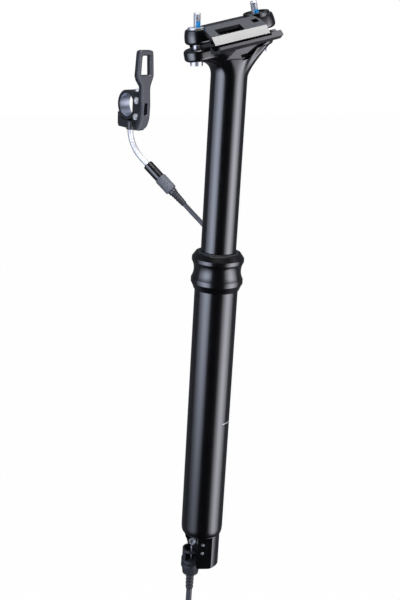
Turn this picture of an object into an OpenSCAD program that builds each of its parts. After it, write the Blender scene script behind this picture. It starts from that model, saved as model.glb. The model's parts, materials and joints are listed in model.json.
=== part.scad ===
// Dropper seatpost with a tilting saddle clamp, gas cartridge, cable actuator and bar remote, in millimetres.
// The origin is on the post's axis at the underside of the seal collar. +Z runs up the post,
// -X is the front of the bicycle and -Y its left side.

/* [Outer tube] */
// Outside diameter that slides into the frame's seat tube
outer_d = 30.9; // [30.4:0.1:34.9]
// Wall of the outer tube
outer_wall = 1.45; // [1.3:0.05:1.8]
// Straight tube left below the stanchion when it is fully down
base_gap = 16; // [14:0.5:30]
// Length of the rounded foot of the tube
nose_len = 6; // [4:0.5:9]
// Radius lost over the rounded foot
nose_drop = 1; // [0.5:0.1:1.2]
// Length of the thread that the collar screws on
thread_len = 14; // [12:0.5:18]

/* [Stanchion] */
// Outside diameter of the stanchion
stanchion_d = 25; // [24.4:0.1:25.6]
// Wall of the stanchion
stanchion_wall = 1.8; // [1.5:0.1:2.2]
// Distance that the stanchion drops
travel = 120; // [80:1:160]
// Length of stanchion kept below the collar at full height
overlap = 50; // [44:1:70]
// Stanchion left showing above the seal when it is fully down
top_gap = 2; // [1:0.5:10]
// Length of each guide bush
bush_len = 16; // [12:1:20]
// Width of a guide key
key_w = 2.3; // [1.8:0.1:3]
// Length of a guide key
key_len = 12.6; // [8:0.2:14]
// Number of guide keys round the stanchion
key_count = 3; // [2:1:4]

/* [Seal collar] */
// Height of the collar up to the seal's lip
collar_h = 27; // [24:0.5:32]
// How far the collar stands out past the tube at its lower bulge
collar_flare = 3.05; // [2.4:0.05:4]
// How far the upper bulge stands out past the tube
collar_crown = 3.1; // [2.2:0.05:4]
// How far the waist stands out past the tube
collar_waist = 1.35; // [1:0.05:1.8]

/* [Gas cartridge] */
// Diameter of the gas rod
rod_d = 10; // [8:0.2:11]
// Wall of the gas cylinder
cylinder_wall = 1.8; // [1.4:0.1:2.2]
// Height of the piston and of the gland
piston_h = 8; // [6:0.5:10]
// Diameter of the valve pin inside the rod
valve_d = 4; // [3:0.2:5]

/* [Saddle clamp] */
// Lean of the saddle rails from square to the post
head_tilt = 13.5; // [8:0.5:18]
// Height of the tilt axis above the top of the stanchion
head_rise = 36; // [33:0.5:44]
// Set of the tilt axis behind the post's axis, less than 0 to the front
head_set = -4.4; // [-8:0.1:4]
// Distance between the two clamp bolts along the clamp
bolt_gap = 43; // [40:0.5:48]
// Diameter of the clamp bolts
bolt_d = 5; // [5:0.5:6]
// Lean of the front bolt from square to the clamp
front_lean = 11; // [4:1:13]
// Thread that shows above each nut
bolt_show = 10; // [6:0.5:14]
// Diameter of the saddle rails
rail_d = 7; // [6.5:0.1:8]
// Distance between the rails' centres
rail_gauge = 44; // [42:0.5:46]
// Width of a bar boss and of an ear
boss_d = 19; // [17:0.5:22]
// Diameter of the round nuts
nut_d = 12.4; // [11:0.2:13]
// Length of the upper clamp's wings
wing_len = 39.5; // [36:0.5:44]
// Reach of the lower cradle in front of the tilt axis
cradle_front = 22; // [18:0.5:26]
// Reach of the lower cradle behind the tilt axis
cradle_rear = 27.4; // [22:0.2:32]
// Thickness of the head's ears
ear_t = 7.8; // [6:0.2:10]

/* [Actuator] */
// Outside diameter of the actuator housing below the tube
base_d = 27.8; // [26.6:0.1:27.8]
// Length of the actuator housing below the tube
base_len = 27.3; // [26:0.5:34]
// Turn of the actuator about the post's axis
base_turn = -16; // [-45:1:45]
// Distance of the cable from the post's axis
cable_reach = 6.8; // [6.4:0.1:7.2]
// Diameter of the two cross pins
cross_pin_d = 2.4; // [2:0.1:2.8]
// Diameter of the cable barrel
barrel_d = 5.6; // [5:0.1:6]
// Diameter of the cable stop's cup
stop_d = 13.7; // [13:0.1:13.8]

/* [Remote] */
// Diameter of the handlebar
bar_d = 22.2; // [22:0.1:25.4]
// Thickness of the bar clamp's band
band_t = 3; // [2.4:0.1:4]
// Width of the bar clamp's band
band_w = 12; // [9:0.5:13]
// Thickness of the thumb lever
lever_t = 5.5; // [4:0.5:7]
// Height of the lever's paddle
paddle_h = 27; // [22:0.5:32]
// Width of the lever's paddle
paddle_w = 19.6; // [16:0.2:22]
// Height of the paddle's top above the bar's centre
lever_top = 54; // [50:0.5:62]
// Diameter of the lever's pivot bolt
pivot_d = 4; // [3:0.5:5]

/* [Cable and adjuster] */
// Diameter of the cable housing
cable_d = 4.5; // [4:0.1:5]
// Diameter of the inner wire
wire_d = 1.2; // [1:0.1:1.6]
// Diameter of the bent noodle tube
noodle_d = 5.6; // [5:0.1:6]
// Radius of the noodle's bend
noodle_bend = 38; // [30:1:44]
// Diameter of the ferrule on the noodle
ferrule_d = 10; // [9:0.2:11]
// Length of the ferrule
ferrule_len = 17.5; // [14:0.5:22]
// Diameter of the barrel adjuster
adjuster_d = 11.8; // [10.4:0.2:13]
// Length of the barrel adjuster
adjuster_len = 16.6; // [12:0.2:20]
// Number of flutes round the barrel adjuster
flute_count = 20; // [12:1:28]
// Length of the ribbed boot behind the adjuster
upper_boot_len = 15; // [12:0.5:20]
// Length of the ribbed boot below the cable stop
lower_boot_len = 12; // [8:0.5:13]

/* [Hidden] */
$fn = 64;

// Clearances
running = 0.05;
fixed = 0.03;
loose = 0.3;
past = 1;

// Colours
black = "#16171b";
rubber = "#26272b";
steel = "#c9cbd0";
brass = "#c2a24e";
bushing = "#8d8a78";
cord = "#1d1e22";

// Outer tube and stanchion
outer_r = outer_d / 2;
bore_r = outer_r - outer_wall;
stanchion_r = stanchion_d / 2;
inner_r = stanchion_r - stanchion_wall;
insert_len = overlap + travel + base_gap;
tube_end = -insert_len - nose_len;
thread_r = outer_r - outer_wall * 0.3;
head_z = collar_h + travel + top_gap;
foot_z = -overlap;
upper_bush_z = -12;
bush_land = 0.5;
key_z = foot_z + bush_len + 3.4;
key_seat_r = stanchion_r - stanchion_wall / 2;
keyway_r = bore_r + outer_wall * 0.4;

// Collar
thread_gap = 0.05;
shoulder_z = thread_len + 0.3;
shoulder_h = 2.7;
seal_z = shoulder_z + shoulder_h;
seal_r = outer_r - 0.45;
collar_low_r = outer_r + collar_flare;
collar_top_r = outer_r + collar_crown;
collar_waist_r = outer_r + collar_waist;
collar_foot_r = outer_r + 0.8;
low_bulge_z = collar_h * 0.18;
waist_z = collar_h * 0.53;
waist_round = collar_h * 0.475;
crown_z = collar_h * 0.87;
collar_edge = 0.5;
o_ring_r = 0.45;
o_ring_z = 1.3;

// Gas cartridge
rod_r = rod_d / 2;
cylinder_r = inner_r - 0.4;
cylinder_bore_r = cylinder_r - cylinder_wall;
nut_h = 6;
cylinder_z = foot_z + nut_h;
end_play = 2;
piston_z = cylinder_z + piston_h + end_play;
ring_z = piston_z + piston_h / 2;
chamber_top = piston_z + piston_h + travel + 2 * end_play;
cap_h = 6;
piston_land_r = rod_r - 1;
valve_r = valve_d / 2;

// Saddle clamp, in its own frame: x along the rails to the rear, z square to the rails
clamp_at = [head_set, 0, head_z + head_rise];
bolt_half = bolt_gap / 2;
bolt_r = bolt_d / 2;
boss_r = boss_d / 2;
rail_r = rail_d / 2;
rail_y = rail_gauge / 2;
rail_z = -10;
rail_wall = 4.6;
split = 0.8;
ear_top = -12.6;
ear_base = ear_top - ear_t;
ear_front = -bolt_half + (ear_top + ear_base) / 2 * tan(front_lean) + 1;
seat_r = 14.5;
seat_half = 9;
bar_h = 9.6;
bar_front = -bolt_half;
bar_rear = bolt_half + 3.4;
rear_drop = 0.8;
nut_r = nut_d / 2;
nut_gap = 0.4;
bolt_room = 1.5;
head_r = bolt_r * 1.7;
head_h = bolt_d;
head_sunk = 1.2;
neck_rise = 6;
neck_h = 2;
spigot_len = 22;

// Actuator, in its own frame: x to the rear, the cable to the front
base_r = base_d / 2;
base_end = tube_end - base_len;
base_top = tube_end + 14;
spigot_gap = 0.15;
cross_pin_r = cross_pin_d / 2;
pivot_z = tube_end - 7;
stop_pin_z = pivot_z - 7;
barrel_z = pivot_z - 1.5;
barrel_r = barrel_d / 2;
slot_half = 7.2;
slot_roof = tube_end - 2.8;
cheek_front = -4;
flat_half = 12;
lever_half = 3;
nose_top = pivot_z + 3;
valve_foot = nose_top + 0.2;
rod_foot = tube_end;
valve_len = 24;
stop_r = stop_d / 2;
stop_top = pivot_z - 8.5;
flange_top = stop_top - 8.5;
flange_end = flange_top - 6.5;
stop_end = flange_end - 8;
stop_bore_r = 1.9;
boot_end = stop_end - lower_boot_len;
wire_r = wire_d / 2;
wire_end = stop_end + 4;

// Remote, in its own frame: x along the bar, -y towards the lever's face
remote_at = [47.1, 331.8, 85];
remote_turn = 17;
bar_r = bar_d / 2;
band_r = bar_r + band_t;
band_d = 2 * band_r;
split_y = -4.5;
tab_z = bar_r + 0.1;
block_x = [-2, 5];
ring_x = [block_x[0] + 1.2, block_x[0] + 1.2 + band_w];
foot_x = [block_x[0], ring_x[1] - 3];
band_bolt_x = (ring_x[0] + block_x[1] + 0.6) / 2;
block_front = -band_r - 6.9;
block_back = band_r - 3.7;
block_foot = -band_r - 7.9;
block_sole = -band_r - loose;
pivot_yz = [-band_r - 4.4, 6];
pivot_r = pivot_d / 2;
lever_x = 0.3;
lever_back = block_front - 3;
lug_x = [block_x[1] + loose, block_x[1] + 3.6];
lug_r = pivot_r + 2.8;
side_screw_yz = [-band_r - 3.4, -9.5];
side_screw_r = 1.5;
band_bolt_r = 1.6;
band_bolt_y = -bar_r - band_bolt_r - 0.9;
noodle_xy = [-4.2, -12];
noodle_seat = 3;
noodle_room = 0.1;

// Noodle and adjuster, whose frame has its z axis along the cable
noodle_r = noodle_d / 2;
noodle_bore_r = 1.2;
heading = -42;
dive = 41;
noodle_lead = 8;
noodle_grip = 6;
noodle_turn = 90 - dive;
noodle_top = remote_at + turned([noodle_xy[0], noodle_xy[1], block_foot + 2], remote_turn);
ahead = [cos(heading), sin(heading), 0];
cable_dir = ahead * sin(noodle_turn) - [0, 0, cos(noodle_turn)];
noodle_end = noodle_top + ahead * noodle_bend * (1 - cos(noodle_turn))
    - [0, 0, noodle_bend * sin(noodle_turn)] + cable_dir * noodle_lead;
stem_r = 3;
adjuster_z = ferrule_len + loose;
neck_z = adjuster_z + adjuster_len + loose;
neck_len = 3;
upper_boot_z = neck_z + neck_len;
upper_boot_end = upper_boot_z + upper_boot_len;

// Noodle's route: out of its socket, round the bend and into the ferrule
noodle_route = concat(
    [noodle_top + [0, 0, noodle_seat]],
    [for (i = [0:7]) noodle_top + ahead * noodle_bend * (1 - cos(noodle_turn * i / 7))
        - [0, 0, noodle_bend * sin(noodle_turn * i / 7)]],
    [noodle_end, noodle_end + cable_dir * noodle_grip]);

// Cable route, in a frame turned about the post's axis: across, behind the post and up
lay_turn = 24;
cable_r = cable_d / 2;
strand = [-cable_reach * cos(base_turn + lay_turn), -cable_reach * sin(base_turn + lay_turn)];
coil_turns = 4.25;
coil_step = cable_d + 0.7;
coil_r = 20 + 2 * coil_step;
coil_drop = 73.5;
coil_z = boot_end - coil_drop;
loop_rings = 24;
coil_at = [strand[0], strand[1] + coil_r, coil_z];
coil_exit = coil_at + [coil_step, cable_d, -coil_r];
route_end = turned(noodle_end + cable_dir * upper_boot_end, lay_turn);
route_dir = turned(cable_dir, lay_turn);
lower_route = [for (share = [0, 0.2, 0.4, 0.6, 0.8, 1])
    [strand[0], strand[1], boot_end - share * (coil_drop - cable_d)]];

// Points of the hanging loop from the coil to the adjuster, and the ends that they were laid out for
loop_start = [-1.5, 34, -346.5];
loop_end = [-30.5, 292, -4];
loop_points = [
    [-2, 49, -346], [-3.2, 65, -343], [-4.5, 83, -337.5], [-5.5, 102, -329], [-6, 121, -317.5],
    [-6, 140, -303], [-6, 158, -286], [-6, 175, -266.5], [-6, 190.5, -245], [-5.5, 205, -222],
    [-5, 218, -198], [-4, 230, -173], [-3, 241, -148], [-1.5, 251, -123], [0, 260, -98],
    [1.5, 268, -74], [2, 272.5, -60], [1, 276.5, -48], [-1.5, 280, -38], [-5.5, 283.2, -29]];
loop_count = len(loop_points);
upper_route = concat(
    [coil_exit, coil_exit + [0, cable_d, 0]],
    smooth([for (i = [0:loop_count - 1])
        let (share = (i + 1) / (loop_count + 1))
        loop_points[i] + (coil_exit - loop_start) * (1 - share) + (route_end - loop_end) * share]),
    [for (back = [27, 14, cable_d, 0]) route_end + route_dir * back]);

function turned(p, angle) = [
    p[0] * cos(angle) - p[1] * sin(angle),
    p[0] * sin(angle) + p[1] * cos(angle),
    p[2]];
// Points with one more on the curve between each two
function smooth(p) = let (last = len(p) - 1) [for (i = [0:last]) for (u = i < last ? [0, 0.5] : [0])
    u == 0 ? p[i] : (9 * (p[i] + p[i + 1]) - p[max(i - 1, 0)] - p[min(i + 2, last)]) / 16];
function unit(v) = v / norm(v);
function arc(x, z, r, from, to, steps) =
    [for (i = [0:steps]) let (a = from + (to - from) * i / steps) [x + r * cos(a), z + r * sin(a)]];

// Coil: it spirals in, climbs a layer in the half turn where the spiral reverses, and spirals out again
function coil_radius(t) = coil_r - coil_step * min(t, coil_turns - t);
function coil_climb(t) = coil_step * max(0, min(1, (t - coil_turns / 2) * 2 + 0.5));
function coil_point(t) = coil_at + [
    coil_climb(t),
    coil_radius(t) * cos(180 + 360 * t),
    coil_radius(t) * sin(180 + 360 * t)];
coil_rings = coil_turns * loop_rings;
coil_route = concat(
    [coil_at + [0, -coil_r, cable_d]],
    [for (i = [0:coil_rings]) coil_point(i / loop_rings)],
    [coil_exit]);
coil_gaps = [for (i = [0:coil_rings]) for (j = [i + loop_rings / 2:coil_rings])
    norm(coil_point(i / loop_rings) - coil_point(j / loop_rings)) - cable_d];
function length_of(route) = sum_of([for (i = [1:len(route) - 1]) norm(route[i] - route[i - 1])]);
function sum_of(list, i = 0) = i < len(list) ? list[i] + sum_of(list, i + 1) : 0;
echo(least_gap_in_coil = min(coil_gaps));
echo(cable_length = length_of(lower_route) + length_of(coil_route) + length_of(upper_route));

// Shared shapes

// Round tube on the post's axis
module tube(r_out, r_in, z0, z1) {
    difference() {
        translate([0, 0, z0]) cylinder(r = r_out, h = z1 - z0);
        translate([0, 0, z0 - past]) cylinder(r = r_in, h = z1 - z0 + 2 * past);
    }
}

// Rod on the post's axis
module rod(r, z0, z1) {
    translate([0, 0, z0]) cylinder(r = r, h = z1 - z0);
}

// Rod across the frame, along y
module rod_y(x, z, r, y0, y1) {
    translate([x, y0, z]) rotate([-90, 0, 0]) cylinder(r = r, h = y1 - y0);
}

// Rod along x
module rod_x(y, z, r, x0, x1) {
    translate([x0, y, z]) rotate([0, 90, 0]) cylinder(r = r, h = x1 - x0);
}

// Box between two corners
module box(low, high) {
    translate(low) cube(high - low);
}

// Flat plate drawn in x and z, centred on y = 0
module plate_xz(width) {
    rotate([90, 0, 0]) linear_extrude(width, center = true) children();
}

// Bar drawn in y and z, running along x
module bar_x(x0, x1) {
    translate([x0, 0, 0]) rotate([90, 0, 90]) linear_extrude(x1 - x0) children();
}

// Flat bar with round ends at the two bolts
module two_boss_bar(front_x, rear_x, z0, z1) {
    box([front_x, -boss_r, z0], [rear_x, boss_r, z1]);
    for (x = [front_x, rear_x]) translate([x, 0, z0]) cylinder(r = boss_r, h = z1 - z0);
}

// Tube of a given radius along a route, square at its ends
module sweep(route, r, sides) {
    last = len(route) - 1;
    points = [for (i = [0:last])
        let (t = unit(route[min(i + 1, last)] - route[max(i - 1, 0)]))
        let (side = unit([1, 0, 0] - t * t[0]))
        let (up = cross(t, side))
        for (k = [0:sides - 1]) route[i] + r * (side * cos(360 * k / sides) + up * sin(360 * k / sides))];
    walls = [for (i = [0:last - 1]) for (k = [0:sides - 1])
        let (n = (k + 1) % sides)
        for (f = [[i * sides + n, i * sides + k, i * sides + sides + k],
            [i * sides + n, i * sides + sides + k, i * sides + sides + n]]) f];
    first_end = [for (k = [1:sides - 2]) [0, k, k + 1]];
    last_end = [for (k = [1:sides - 2]) [last * sides, last * sides + k + 1, last * sides + k]];
    polyhedron(points, concat(walls, first_end, last_end));
}

// Rubber sleeve with ribs, from z0 up to z1
module ribbed_sleeve(r0, r1, z0, z1, ribs, bore) {
    rib_h = (z1 - z0) * 0.5 / ribs;
    difference() {
        union() {
            translate([0, 0, z0]) cylinder(r1 = r0, r2 = r1, h = z1 - z0);
            for (i = [0:ribs - 1]) {
                share = (i + 0.75) / (ribs + 0.5);
                translate([0, 0, z0 + share * (z1 - z0) - rib_h / 2])
                    cylinder(r = r0 + (r1 - r0) * share + 0.3, h = rib_h);
            }
        }
        translate([0, 0, z0 - past]) cylinder(r = bore, h = z1 - z0 + 2 * past);
    }
}

// Frames that the pieces are drawn in
module in_clamp() {
    translate(clamp_at) rotate([0, -head_tilt, 0]) children();
}

// Frame of a clamp bolt, with the centre of its nut at the origin
module on_bolt(side) {
    translate([side * bolt_half, 0, side < 0 ? 0 : -rear_drop])
        rotate([0, side < 0 ? front_lean : 0, 0]) children();
}

module in_base() {
    rotate([0, 0, base_turn]) children();
}

module on_cable() {
    in_base() translate([-cable_reach, 0, 0]) children();
}

module in_remote() {
    translate(remote_at) rotate([0, 0, remote_turn]) children();
}

module on_adjuster() {
    translate(noodle_end) rotate([0, 90 + dive, heading]) children();
}

module in_lay() {
    rotate([0, 0, -lay_turn]) children();
}

// Outer tube and collar

module outer_tube() {
    color(black) difference() {
        union() {
            rod(outer_r, -insert_len, 0);
            rod(thread_r, -past, thread_len);
            rotate_extrude() polygon(concat(
                [[0, -insert_len]],
                [for (a = [0:15:90]) [outer_r - nose_drop * (1 - cos(a)), -insert_len - nose_len * sin(a)]],
                [[0, tube_end]]));
        }
        rod(bore_r, tube_end - past, thread_len + past);
        for (k = [1:key_count]) rotate([0, 0, 360 * k / key_count])
            box([0, -key_w / 2 - 0.1, foot_z - travel], [keyway_r, key_w / 2 + 0.1, thread_len + past]);
    }
}

module seal_collar() {
    low_turn = acos(1 - (collar_low_r - collar_waist_r) / waist_round);
    top_turn = acos(1 - (collar_top_r - collar_waist_r) / waist_round);
    color(black) rotate_extrude() polygon(concat(
        [[thread_r + thread_gap, 0]],
        [[collar_foot_r, 0]],
        [[collar_low_r - collar_edge, low_bulge_z - collar_edge]],
        arc(collar_low_r - collar_edge, low_bulge_z + collar_edge / 2, collar_edge, -40, 0, 3),
        arc(collar_waist_r + waist_round, waist_z, waist_round, 180 + low_turn, 180 - top_turn, 14),
        arc(collar_top_r - collar_edge, crown_z - collar_edge, collar_edge, 0, 45, 3),
        [[seal_r + 0.6, collar_h - 0.2]],
        [[seal_r + fixed, collar_h - 0.3]],
        [[seal_r + fixed, seal_z]],
        [[stanchion_r + 0.4, seal_z]],
        [[stanchion_r + 0.4, shoulder_z]],
        [[thread_r + thread_gap, shoulder_z]],
        [[thread_r + thread_gap, o_ring_z + o_ring_r + 0.15]],
        [[thread_r + thread_gap + 2 * o_ring_r, o_ring_z + o_ring_r + 0.15]],
        [[thread_r + thread_gap + 2 * o_ring_r, o_ring_z - o_ring_r - 0.15]],
        [[thread_r + thread_gap, o_ring_z - o_ring_r - 0.15]]));
}

module wiper_seal() {
    lip_r = stanchion_r + 1.3;
    color(rubber) rotate_extrude() polygon(concat(
        [[stanchion_r + 0.8, seal_z + fixed]],
        [[seal_r, seal_z + fixed]],
        [[seal_r, collar_h - 1]],
        [[lip_r + 0.6, collar_h - 0.6]],
        arc(lip_r, collar_h + 0.1, 0.6, 0, 120, 5),
        [[stanchion_r + running, collar_h + 0.3]],
        [[stanchion_r + running, collar_h - 1.5]],
        [[stanchion_r + 0.8, collar_h - 3]]));
}

module collar_o_ring() {
    color(rubber) rotate_extrude() translate([thread_r + thread_gap + o_ring_r, o_ring_z])
        circle(r = o_ring_r - fixed);
}

module upper_bush() {
    color(bushing) tube(bore_r - fixed, stanchion_r + running, upper_bush_z, upper_bush_z + bush_len + 6);
}

module top_out_bumper() {
    color(rubber) tube(bore_r - 0.2, stanchion_r + loose, key_z + key_len + 0.4, upper_bush_z - 0.2);
}

// Stanchion and gas cartridge

module stanchion() {
    color(black) difference() {
        union() {
            rod(stanchion_r - bush_land, foot_z, foot_z + bush_len + past);
            rod(stanchion_r, foot_z + bush_len, head_z);
        }
        rod(inner_r, foot_z - past, head_z + past);
        for (k = [1:key_count]) rotate([0, 0, 360 * k / key_count])
            box([key_seat_r, -key_w / 2 - fixed, key_z - 0.1],
                [stanchion_r + past, key_w / 2 + fixed, key_z + key_len + 0.1]);
    }
}

module lower_bush() {
    color(bushing) tube(bore_r - running, stanchion_r - bush_land + fixed, foot_z, foot_z + bush_len - 0.1);
}

module guide_keys() {
    color(brass) for (k = [1:key_count]) rotate([0, 0, 360 * k / key_count])
        box([key_seat_r + fixed, -key_w / 2, key_z], [keyway_r - 0.15, key_w / 2, key_z + key_len]);
}

module gas_cylinder() {
    color(steel) difference() {
        rod(cylinder_r, cylinder_z, chamber_top + cap_h);
        rod(cylinder_bore_r, cylinder_z - past, chamber_top);
    }
}

module cylinder_gland() {
    color(black) tube(cylinder_bore_r - fixed, rod_r + running, cylinder_z, cylinder_z + piston_h);
}

module cartridge_nut() {
    color(steel) tube(inner_r - fixed, rod_r + 1, foot_z, cylinder_z - 0.1);
}

module gas_rod() {
    color(steel) difference() {
        union() {
            rod(rod_r, rod_foot, piston_z);
            rod(piston_land_r, piston_z - past, piston_z + piston_h);
        }
        rod(valve_r + running, rod_foot - past, valve_foot + valve_len + 4);
    }
}

module rod_piston() {
    color(brass) difference() {
        tube(cylinder_bore_r - 0.1, piston_land_r + fixed, piston_z + fixed, piston_z + piston_h);
        tube(cylinder_bore_r, cylinder_bore_r - 1.1, ring_z - 1, ring_z + 1);
    }
}

module piston_ring() {
    color(rubber) tube(cylinder_bore_r - running, cylinder_bore_r - 1.05, ring_z - 0.95, ring_z + 0.95);
}

module valve_pin() {
    color(steel) rod(valve_r, valve_foot, valve_foot + valve_len);
}

// Seat head and saddle clamp

module seat_head() {
    pocket = [[-3, ear_top - 5], [bolt_half + 2, ear_top - 5], [8, ear_base - 4.4], [-1, ear_base - 4]];
    color(black) difference() {
        union() {
            rod(inner_r - fixed, head_z - spigot_len, head_z + past);
            rod(stanchion_r, head_z, head_z + neck_rise);
            hull() {
                translate([0, 0, head_z + neck_rise - past]) cylinder(r = stanchion_r, h = neck_h);
                in_clamp() for (x = [-8, bolt_half])
                    translate([x, 0, ear_base]) cylinder(r = boss_r, h = ear_t - 2, $fn = 32);
            }
            in_clamp() two_boss_bar(ear_front, bolt_half, ear_base, ear_top);
        }
        in_clamp() {
            rod_y(0, 0, seat_r + loose, -boss_d, boss_d);
            for (side = [-1, 1]) on_bolt(side) {
                rod(bolt_r + loose, ear_base - past, 0);
                rod(head_r + loose, ear_base - 5 * head_h, ear_base + head_sunk);
            }
            for (side = [-1, 1]) translate([0, side * (boss_r + 0.5), 0]) plate_xz(9) polygon(pocket);
        }
    }
}

module cradle() {
    lip_x = wing_len / 2 - 0.8;
    bar = [[-cradle_front, rail_z - rail_r - 1.8], [cradle_rear - 2, rail_z - rail_r - 1],
        [cradle_rear, rail_z - 2], [cradle_rear - 1.4, rail_z + 1], [lip_x, rail_z + 1],
        [lip_x, rail_z - split], [-cradle_front, rail_z - split]];
    color(black) in_clamp() difference() {
        union() {
            for (side = [-1, 1]) translate([0, side * rail_y, 0]) plate_xz(2 * rail_wall) polygon(bar);
            intersection() {
                rod_y(0, 0, seat_r, -rail_y, rail_y);
                box([-seat_half, -rail_y, -seat_r], [seat_half, rail_y, rail_z - 1.6]);
            }
        }
        for (side = [-1, 1]) rod_x(side * rail_y, rail_z, rail_r, -cradle_front - past, cradle_rear + past);
    }
}

module upper_clamp() {
    wing_y = rail_y + rail_wall;
    wing_x = [-wing_len / 2 - 1.6, wing_len / 2 - 1.6];
    sole = rail_z + split;
    roof = [[0, 1], [boss_r - 1, 1], [wing_y - 1.8, rail_z + 4.8], [wing_y, sole],
        [rail_y - rail_wall, sole], [rail_y - rail_wall, rail_z + 5], [boss_r - 1, -3], [0, -3]];
    color(black) in_clamp() difference() {
        union() {
            two_boss_bar(bar_front, bar_rear, -bar_h, 0);
            translate([bar_rear - 2.6, 0, -past]) cylinder(r = boss_r - 0.6, h = past + 1.8);
            for (side = [0, 1]) mirror([0, side, 0]) bar_x(wing_x[0], wing_x[1]) polygon(roof);
        }
        for (side = [-1, 1]) on_bolt(side) {
            sphere(r = nut_r + nut_gap);
            rod(bolt_r + bolt_room, -bar_h - 4 * past, 2 * past);
            rod(nut_r + nut_gap, 0, 4 * past);
        }
        for (side = [0, 1]) mirror([0, side, 0]) {
            rod_x(rail_y, rail_z, rail_r, -wing_len, wing_len);
            box([-12.3, rail_y - 6.5, rail_z + 1], [2, rail_y + 1.6, 2]);
            box([12, boss_r + 2.5, -3.4], [16, boss_r + 7, 2]);
            for (end = [0, 1]) translate([wing_x[end], 0, -1.4]) rotate([0, end * 100 - 50, 0])
                box([-9, boss_r, 0], [9, 2 * rail_y, 8]);
        }
    }
}

module clamp_bolt(side) {
    seat = ear_base + head_sunk;
    color(steel) in_clamp() on_bolt(side) difference() {
        union() {
            rod(bolt_r, seat - past, bolt_show - 0.8);
            translate([0, 0, bolt_show - 0.8]) cylinder(r1 = bolt_r, r2 = bolt_r - 0.6, h = 0.8);
            rod(head_r, seat - head_h, seat);
        }
        translate([0, 0, seat - head_h - past]) cylinder(d = bolt_d * 0.9, h = 3 + past, $fn = 6);
    }
}

module front_bolt() {
    clamp_bolt(-1);
}

module rear_bolt() {
    clamp_bolt(1);
}

module round_nut(side) {
    color(steel) in_clamp() on_bolt(side) difference() {
        intersection() {
            sphere(r = nut_r);
            rod(nut_r + past, -nut_r + 1, 0.6);
        }
        rod(bolt_r + running, -nut_r - past, nut_r + past);
    }
}

module front_nut() {
    round_nut(-1);
}

module rear_nut() {
    round_nut(1);
}

// Actuator

module actuator_housing() {
    color(black) in_base() difference() {
        union() {
            rod(bore_r - spigot_gap, tube_end - past, base_top);
            rod(base_r, base_end + 1, tube_end - loose);
            translate([0, 0, base_end]) cylinder(r1 = base_r - 0.8, r2 = base_r, h = 1);
        }
        rod(rod_r + fixed, rod_foot, base_top + past);
        rod(valve_r + 0.6, slot_roof - past, rod_foot + past);
        box([-base_d, -slot_half, base_end - past], [7, slot_half, slot_roof]);
        box([-base_d, -base_d, base_end - past], [cheek_front, base_d, tube_end - 0.8]);
        for (side = [0, 1]) mirror([0, side, 0])
            box([-base_d, flat_half, base_end - past], [base_d, base_d, tube_end - 0.8]);
        for (z = [pivot_z, stop_pin_z]) rod_y(0, z, cross_pin_r + fixed, -base_d, base_d);
    }
}

module actuator_pins() {
    color(steel) in_base() for (z = [pivot_z, stop_pin_z])
        rod_y(0, z, cross_pin_r, -flat_half - 0.4, flat_half + 0.4);
}

module actuator_lever() {
    eye_r = barrel_r + 1.1;
    hook = [-cable_reach - 3.5, barrel_z + 4.6];
    color(black) in_base() difference() {
        union() {
            rod_y(0, pivot_z, cross_pin_r + 2, -lever_half, lever_half);
            rod_y(-cable_reach, barrel_z, eye_r, -lever_half, lever_half);
            rod_y(hook[0], hook[1], 2.1, -lever_half, lever_half);
            plate_xz(2 * lever_half) polygon([
                [3.5, nose_top], [3.5, nose_top - 2], [0, pivot_z - cross_pin_r - 1.6],
                [-cable_reach, barrel_z - eye_r + 0.5], [-cable_reach - eye_r + 0.3, barrel_z],
                [hook[0] - 2, hook[1]], [hook[0] + 1, hook[1] + 1.8], [-3, nose_top - 1], [-1, nose_top]]);
        }
        rod_y(0, pivot_z, cross_pin_r + running, -slot_half, slot_half);
        rod_y(-cable_reach, barrel_z, barrel_r + running, -slot_half, slot_half);
        box([-cable_reach - 2.6, -wire_r - 0.7, barrel_z - 8], [-cable_reach + 2.6, wire_r + 0.7, barrel_z]);
    }
}

module cable_barrel() {
    color(steel) in_base() difference() {
        rod_y(-cable_reach, barrel_z, barrel_r, -lever_half - 0.7, lever_half + 0.7);
        rod_y(-cable_reach, barrel_z, 1.5, -slot_half, 0);
        translate([-cable_reach, 0, 0]) rod(wire_r + fixed, barrel_z - 5, barrel_z + 5);
    }
}

module grub_screw() {
    color(steel) in_base() difference() {
        rod_y(-cable_reach, barrel_z, 1.5 - fixed, -lever_half + 0.2, -wire_r - fixed);
        translate([-cable_reach, -lever_half - past, barrel_z]) rotate([-90, 0, 0])
            cylinder(d = 1.5, h = past + 1.4, $fn = 6);
    }
}

module inner_wire() {
    color(steel) on_cable() rod(wire_r, wire_end, barrel_z + barrel_r - 0.2);
}

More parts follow.
